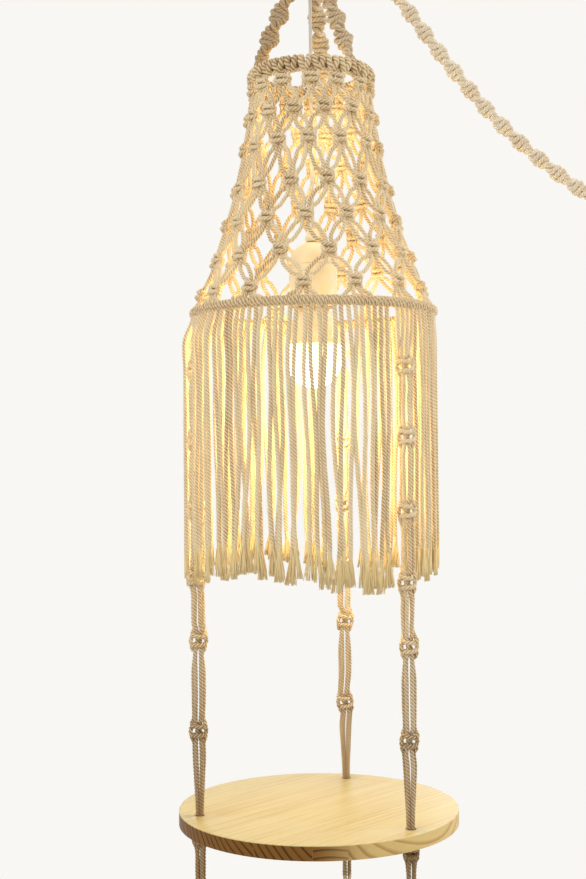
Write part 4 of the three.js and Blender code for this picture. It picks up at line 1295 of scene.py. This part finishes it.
def rope_run(work, angle, way, knots, top, foot):
    """One cord of a hanger rope through its knots, from one height to another."""
    wide = ROPE_BELLY[way]
    narrow = [0.6 * reach for reach in ROPE_SPAN[way]]
    path = list(top)
    previous = None
    for height in knots:
        place = rope_place(angle, height)
        place.loosen(random.Random(int(angle - height)), 1.0, 8)
        if previous is not None:
            lean = math.radians(random.Random(int(2 * angle - height)).uniform(-ROPE_TURN, ROPE_TURN))
            across = wide[0] * math.cos(lean) - wide[1] * math.sin(lean)
            out = wide[0] * math.sin(lean) + wide[1] * math.cos(lean)
            for share in (0.26, 0.5, 0.74):
                slack = work.random.uniform(-0.5, 0.5)
                middle = rope_place(angle, previous + (height - previous) * share)
                path.append(middle.at(across + slack, 0, out + slack / 2))
        path += rope_knot(place, way)
        previous = height
    if foot < knots[-1] - 18:
        start = knots[-1] - 11
        for reach, closing in ((0.2, 0.12), (0.5, 0.5), (0.8, 0.88), (1, 1)):
            across, out = (a + (b - a) * closing for a, b in zip(wide, narrow))
            path.append(rope_place(angle, start + (foot - start) * reach).at(across, 0, out))
    return path


class ROPESHELF_OT_hangers(PieceOperator, bpy.types.Operator):
    """Hanger ropes of four cords, with a square knot at each stage"""

    bl_idname = "rope_shelf.hangers"
    bl_label = "Add hanger ropes"

    def execute(self, context):
        sizes, colours = settings_of(context)
        for side, angle in HANGERS.items():
            upper = CordWork("hanger_cords_upper_" + side, sizes, seed=90 + int(angle))
            lower = CordWork("hanger_cords_lower_" + side, sizes, seed=95 + int(angle))
            for n, way in zip((-3, -1, 1, 3), SQUARE_KNOT):
                head = [
                    around(LOWER_HOOP_RADIUS + reach, angle + n * FRINGE_PITCH * spread, LOWER_HOOP - drop)
                    for reach, spread, drop in ((0.5, 0.5, 2), (1.4, 0.5, 9), (1.2, 0.46, 30))
                ]
                path = rope_run(upper, angle, way, UPPER_KNOTS, head, UPPER_KNOTS[-1] - 8)
                upper.cord(path, radius=ROPE_CORD_RADIUS, tone=UPPER_PAINTED_SHADING)
                (across, out), belly = ROPE_SPAN[way], ROPE_BELLY[way]
                reaches = ((across * 0.8, out * 0.8), (across, out), belly, belly)
                head = [rope_place(angle, z).at(a, 0, o) for z, (a, o) in zip(LOWER_HEAD, reaches)]
                path = rope_run(lower, angle, way, (LOWER_KNOT,), head, SHELF_TOP - 0.5)
                lower.cord(path, radius=ROPE_CORD_RADIUS, tone=LOWER_PAINTED_SHADING[side])
            dress(upper.build(), "pendant", cotton_finish(colours), "cotton", "hanger_upper_" + side)
            dress(lower.build(), "rope_" + side, rope_finish(colours), "cotton", "hanger_lower_" + side)
        return {"FINISHED"}


class ROPESHELF_OT_stoppers(PieceOperator, bpy.types.Operator):
    """Stopper knots below the board, with the loose tails of the ropes"""

    bl_idname = "rope_shelf.stoppers"
    bl_label = "Add stopper knots"

    def execute(self, context):
        sizes, colours = settings_of(context)
        for side, angle in HANGERS.items():
            work = CordWork("stopper_cords_" + side, sizes, seed=120 + int(angle))
            for way, (across, out) in ROPE_SPAN.items():
                heights = (SHELF_TOP - 0.4, SHELF_FOOT + 3)
                path = [rope_place(angle, height).at(across * 0.6, 0, out * 0.66) for height in heights]
                path += rope_knot(rope_place(angle, STOPPER_KNOT), way, STOPPER_TIGHTNESS)[1:]
                start = STOPPER_KNOT - 12
                foot = TAIL_FOOT + 6 + work.random.uniform(-3, 3)
                for share in (0.3, 0.65, 1):
                    slack = work.random.uniform(-0.8, 0.8)
                    place = rope_place(angle, start + (foot - start) * share)
                    path.append(place.at(across * 0.75 + slack, 0, out + slack))
                centres = work.cord(path, radius=ROPE_CORD_RADIUS, tone=TAIL_PAINTED_SHADE, comb_from=0.97)
                work.combed_end(centres[-1], up(-1), tangent_at(0), outward_at(0), 16, 4)
            dress(work.build(), "shelf", rope_finish(colours), "cotton", "stopper_" + side)
        return {"FINISHED"}


class ROPESHELF_OT_board(PieceOperator, bpy.types.Operator):
    """Round pine board with three holes"""

    bl_idname = "rope_shelf.board"
    bl_label = "Add board"

    def execute(self, context):
        sizes, colours = settings_of(context)
        deselect()
        bpy.ops.mesh.primitive_cylinder_add(
            vertices=192, radius=SHELF_RADIUS * MM, depth=(SHELF_TOP - SHELF_FOOT) * MM,
            location=(0, 0, SHELF_MIDDLE * MM),
        )
        board = bpy.context.object
        board.name = "pine_board"
        bpy.ops.object.transform_apply(location=True, rotation=True, scale=True)
        for angle in HANGERS.values():
            deselect()
            bpy.ops.mesh.primitive_cylinder_add(
                vertices=40, radius=HOLE_RADIUS * MM, depth=0.04,
                location=tuple(around(HANGER_CIRCLE, angle, SHELF_MIDDLE) * MM),
            )
            drill = bpy.context.object
            apply_modifier(board, "BOOLEAN", object=drill, operation="DIFFERENCE", solver="EXACT")
            bpy.data.objects.remove(drill)
        apply_modifier(board, "BEVEL", width=sizes.edge, segments=4, limit_method="ANGLE", angle_limit=0.8)
        activate(board)
        bpy.ops.object.shade_smooth_by_angle(angle=0.5)
        dress(board, "shelf", pine_finish(colours), "pine", "shelf_disc")
        return {"FINISHED"}


def quarter(radius, level, steps, way=1, least=0):
    """The outline of a quarter round, from its rim at a level to its pole above it, or below."""
    turns = [math.pi / 2 * i / steps for i in range(steps + 1)]
    return [(max(radius * math.cos(turn), least), level + way * radius * math.sin(turn)) for turn in turns]


class ROPESHELF_OT_holder(PieceOperator, bpy.types.Operator):
    """Lamp holder: grip, cap, skirt, contact carrier, contact and threaded sleeve"""

    bl_idname = "rope_shelf.holder"
    bl_label = "Add lamp holder"

    def execute(self, context):
        _, colours = settings_of(context)
        plastic, brass = plastic_finish(colours), brass_finish(colours)
        grip = [(BORE, -405.7), (8, -405.7), (8, -401)]
        for i in range(4):
            grip += [(7.4 - 0.7 * i, -400.2 + 2.1 * i), (7.2 - 0.7 * i, -398.9 + 2.1 * i)]
        grip += [(5, -392), (BORE, -392)]
        cap = quarter(26, CAP_FOOT, 12, least=BORE) + quarter(23.8, CAP_FOOT, 12, least=BORE)[::-1]
        skirt = [
            (26, -432.3), (26, -441), (25.6, -441.6), (25.6, -442.8), (25.95, -443.4), (25, -477.3),
            (22.8, -477.3), (23.8, -432.3),
        ]
        carrier = [
            (0, -443.3), (15.6, -443.3), (16, -441.5), (17, -441.5), (17.4, -443.3), (22.5, -443.3),
            (22.5, -432.3), (0, -432.3),
        ]
        contact = [(0, -446.6), (1.5, -446.4), (2.6, -445.4), (3.5, -443.6), (0, -443.6)]
        sleeve = [
            (14.9 - 0.175 * (1 + math.cos(math.pi * i / 4)), SLEEVE_FOOT + SLEEVE_LENGTH * i / 48)
            for i in range(49)
        ]
        sleeve += [(14.1, SLEEVE_FOOT + SLEEVE_LENGTH), (14.1, SLEEVE_FOOT)]
        for name, node, outline, steps, bevel, closed in (
            ("flex_grip", "cord_grip", grip, 48, 0.25, True),
            ("holder_dome", "holder_cap", cap, 72, 0.3, True),
            ("holder_sleeve", "holder_skirt", skirt, 72, 0.3, True),
            ("carrier_block", "contact_carrier", carrier, 60, 0.25, False),
        ):
            dress(spun(name, outline, steps, bevel, closed), "lamp", plastic, "white_plastic", node)
        for name, node, outline, steps, closed in (
            ("contact_spring", "centre_contact", contact, 40, False),
            ("screw_sleeve", "threaded_sleeve", sleeve, 60, True),
        ):
            dress(spun(name, outline, steps, 0, closed), "lamp", brass, "brass", node)
        return {"FINISHED"}


class ROPESHELF_OT_bulb(PieceOperator, bpy.types.Operator):
    """Bulb: screw cap, housing, light board and lit diffuser"""

    bl_idname = "rope_shelf.bulb"
    bl_label = "Add bulb"

    def execute(self, context):
        _, colours = settings_of(context)
        plastic = plastic_finish(colours)
        outline = [(0, -472.9), (13.2, -472.9)]
        outline += [(13.2, -471 + 20.4 * i / 60) for i in range(61)]
        outline += [(11.6, -449.6), (7.0, -448.7), (4.2, -448.4), (4.0, -447.4), (3.0, -446.95), (0, -446.9)]
        cap = spun("bulb_thread", outline, closed=False)
        self.cut_thread(cap)
        dress(cap, "bulb_base", steel_finish(colours), "steel", "bulb_screw_cap")

        outline = [(0, -518.2), (29.6, -518.2), (30, -517.6)]
        for i in range(1, 13):
            share = 1 - i / 12
            outline.append((13.2 + 16.8 * math.sin(math.pi / 2 * share), -473.2 - 45 * share))
        outline.append((0, -473.2))
        housing = spun("bulb_body", outline, bevel=0.2, closed=False)
        dress(housing, "bulb_globe", plastic, "white_plastic", "bulb_housing")

        outline = [(0, -520.1), (27.9, -520.1), (27.9, -518.5), (0, -518.5)]
        board = spun("chip_board", outline, 48, 0.2, closed=False)
        self.add_chips(board)
        dress(board, "bulb_globe", plastic, "white_plastic", "light_board")

        outline = quarter(30, DIFFUSER_RIM, 16, -1)[::-1] + [(30, -518.5), (28.5, -518.5)]
        outline += quarter(28.5, DIFFUSER_RIM, 16, -1)
        globe = spun("opal_globe", outline, bevel=0.2, closed=False)
        dress(globe, "bulb_globe", glow_finish(colours), "diffuser", "bulb_diffuser")
        return {"FINISHED"}

    def cut_thread(self, cap):
        """The round thread of the cap, which fades out at both its ends."""
        for vertex in cap.data.vertices:
            x, y, z = (c / MM for c in vertex.co)
            reach = math.hypot(x, y)
            if reach > 13:
                level = min(1, max(0, (z + 471.5) / 2)) * min(1, max(0, (-450.8 - z) / 1.5))
                turn = math.atan2(y, x) / (2 * math.pi)
                cut = THREAD_DEPTH * level * (0.5 + 0.5 * math.cos(2 * math.pi * (z / THREAD_PITCH - turn)))
                vertex.co.x *= (reach - cut) / reach
                vertex.co.y *= (reach - cut) / reach

    def add_chips(self, board):
        """Twelve small chips on the underside of the board."""
        activate(board)
        mesh = bmesh.new()
        mesh.from_mesh(board.data)
        for i in range(12):
            centre = around(18 if i % 2 else 11, 30 * i, -520.3) * MM
            place = Matrix.Translation(Vector(centre)) @ Matrix.Diagonal((0.0028, 0.0028, 0.0006, 1))
            bmesh.ops.create_cube(mesh, size=1.0, matrix=place)
        mesh.to_mesh(board.data)
        mesh.free()
        board.data.update()


class ROPESHELF_OT_stage(PieceOperator, bpy.types.Operator):
    """Pale floor, soft studio light and a white surround"""

    bl_idname = "rope_shelf.stage"
    bl_label = "Add stage"

    def execute(self, context):
        sizes, colours = settings_of(context)
        deselect()
        bpy.ops.mesh.primitive_circle_add(
            vertices=96, radius=FLOOR_RADIUS, fill_type="NGON", location=(0, 0, sizes.floor_height)
        )
        floor = bpy.context.object
        floor.name = "floor"
        finish = Finish("pale floor")
        place = finish.coordinates()
        x, y, _ = finish.parts(place)
        fade = (x * x + y * y).root().between(*FLOOR_FADE)
        colour = finish.mix(finish.noise(place, 3), colours.floor, srgb(238, 236, 230))
        solid = finish.node("ShaderNodeBsdfDiffuse", inputs={"Color": colour})
        clear = finish.node("ShaderNodeBsdfTransparent")
        floor.data.materials.append(
            finish.end(finish.node("ShaderNodeMixShader", inputs={0: fade, 1: solid, 2: clear}))
        )
        self.surround(context)
        for name, place, aim, size, power in STUDIO_LIGHTS:
            light = self.add_light(name, "AREA", place, power, shape="DISK", size=size)
            light.visible_camera = False
            away = Vector(place) - Vector((0, 0, aim))
            light.rotation_euler = away.to_track_quat("Z", "Y").to_euler()
        # The warm light of the bulb, inside the shade
        for name, height, power in (("bulb_glow", -0.58, 1.3), ("shade_glow", -0.3, 0.2)):
            glow = {"color": srgb(255, 234, 176), "shadow_soft_size": 0.03}
            self.add_light(name, "POINT", (0, 0, height), power, **glow)
        context.scene.view_settings.view_transform = "Standard"
        return {"FINISHED"}

    def surround(self, context):
        """Soft even light, and a pale backdrop for the camera and for reflections."""
        sky = Finish("surround", "worlds")
        context.scene.world = sky.block
        rays = ("Is Camera Ray", "Is Glossy Ray", "Is Transmission Ray")
        camera, glossy, through = sky.outputs("ShaderNodeLightPath", rays)
        backdrop = sky.node("ShaderNodeBackground", inputs={"Color": srgb(249, 247, 243), "Strength": 1})
        # Brighter from above, from the right and from behind.
        inputs = {0: sky.coordinates("Generated"), 1: (0.5, 0.6, 0.62)}
        towards = sky.node("ShaderNodeVectorMath", {"operation": "DOT_PRODUCT"}, inputs, output="Value")
        level = sky.node("ShaderNodeMapRange", inputs={0: towards, 1: -1, 2: 1, 3: 0.56, 4: 0.84})
        light = sky.node("ShaderNodeBackground", inputs={"Color": srgb(255, 251, 242), "Strength": level})
        seen = camera.larger(glossy).larger(through)
        either = sky.node("ShaderNodeMixShader", inputs={0: seen, 1: light, 2: backdrop})
        sky.end(either, "ShaderNodeOutputWorld")

    def add_light(self, name, kind, place, power, **settings):
        data = bpy.data.lights.new(name, kind)
        data.energy = power
        for setting, value in settings.items():
            setattr(data, setting, value)
        light = bpy.data.objects.new(name, data)
        bpy.context.scene.collection.objects.link(light)
        light.location = place
        return light


class ROPESHELF_PT_panel(bpy.types.Panel):
    """The operators in the order in which they are used"""

    bl_idname = "ROPESHELF_PT_panel"
    bl_label = "Rope Shelf"
    bl_space_type = "VIEW_3D"
    bl_region_type = "UI"
    bl_category = "Rope Shelf"

    def draw(self, context):
        for group in settings_of(context):
            box = self.layout.box()
            for name in group.__annotations__:
                box.prop(group, name)
        for operator in OPERATORS:
            self.layout.operator(operator.bl_idname)


OPERATORS = (
    ROPESHELF_OT_camera,
    ROPESHELF_OT_swag,
    ROPESHELF_OT_flex,
    ROPESHELF_OT_gathering,
    ROPESHELF_OT_sinnets,
    ROPESHELF_OT_hoops,
    ROPESHELF_OT_net,
    ROPESHELF_OT_fringe,
    ROPESHELF_OT_hangers,
    ROPESHELF_OT_stoppers,
    ROPESHELF_OT_board,
    ROPESHELF_OT_holder,
    ROPESHELF_OT_bulb,
    ROPESHELF_OT_stage,
)
CLASSES = (RopeShelfSizes, RopeShelfColours, *OPERATORS, ROPESHELF_PT_panel)


def register():
    for made in CLASSES:
        bpy.utils.register_class(made)
    bpy.types.Scene.rope_shelf_sizes = PointerProperty(type=RopeShelfSizes)
    bpy.types.Scene.rope_shelf_colours = PointerProperty(type=RopeShelfColours)


def unregister():
    del bpy.types.Scene.rope_shelf_colours
    del bpy.types.Scene.rope_shelf_sizes
    for made in reversed(CLASSES):
        bpy.utils.unregister_class(made)


def main():
    register()
    for operator in OPERATORS:
        group, name = operator.bl_idname.split(".")
        getattr(getattr(bpy.ops, group), name)()
    deselect()


if __name__ == "__main__":
    main()
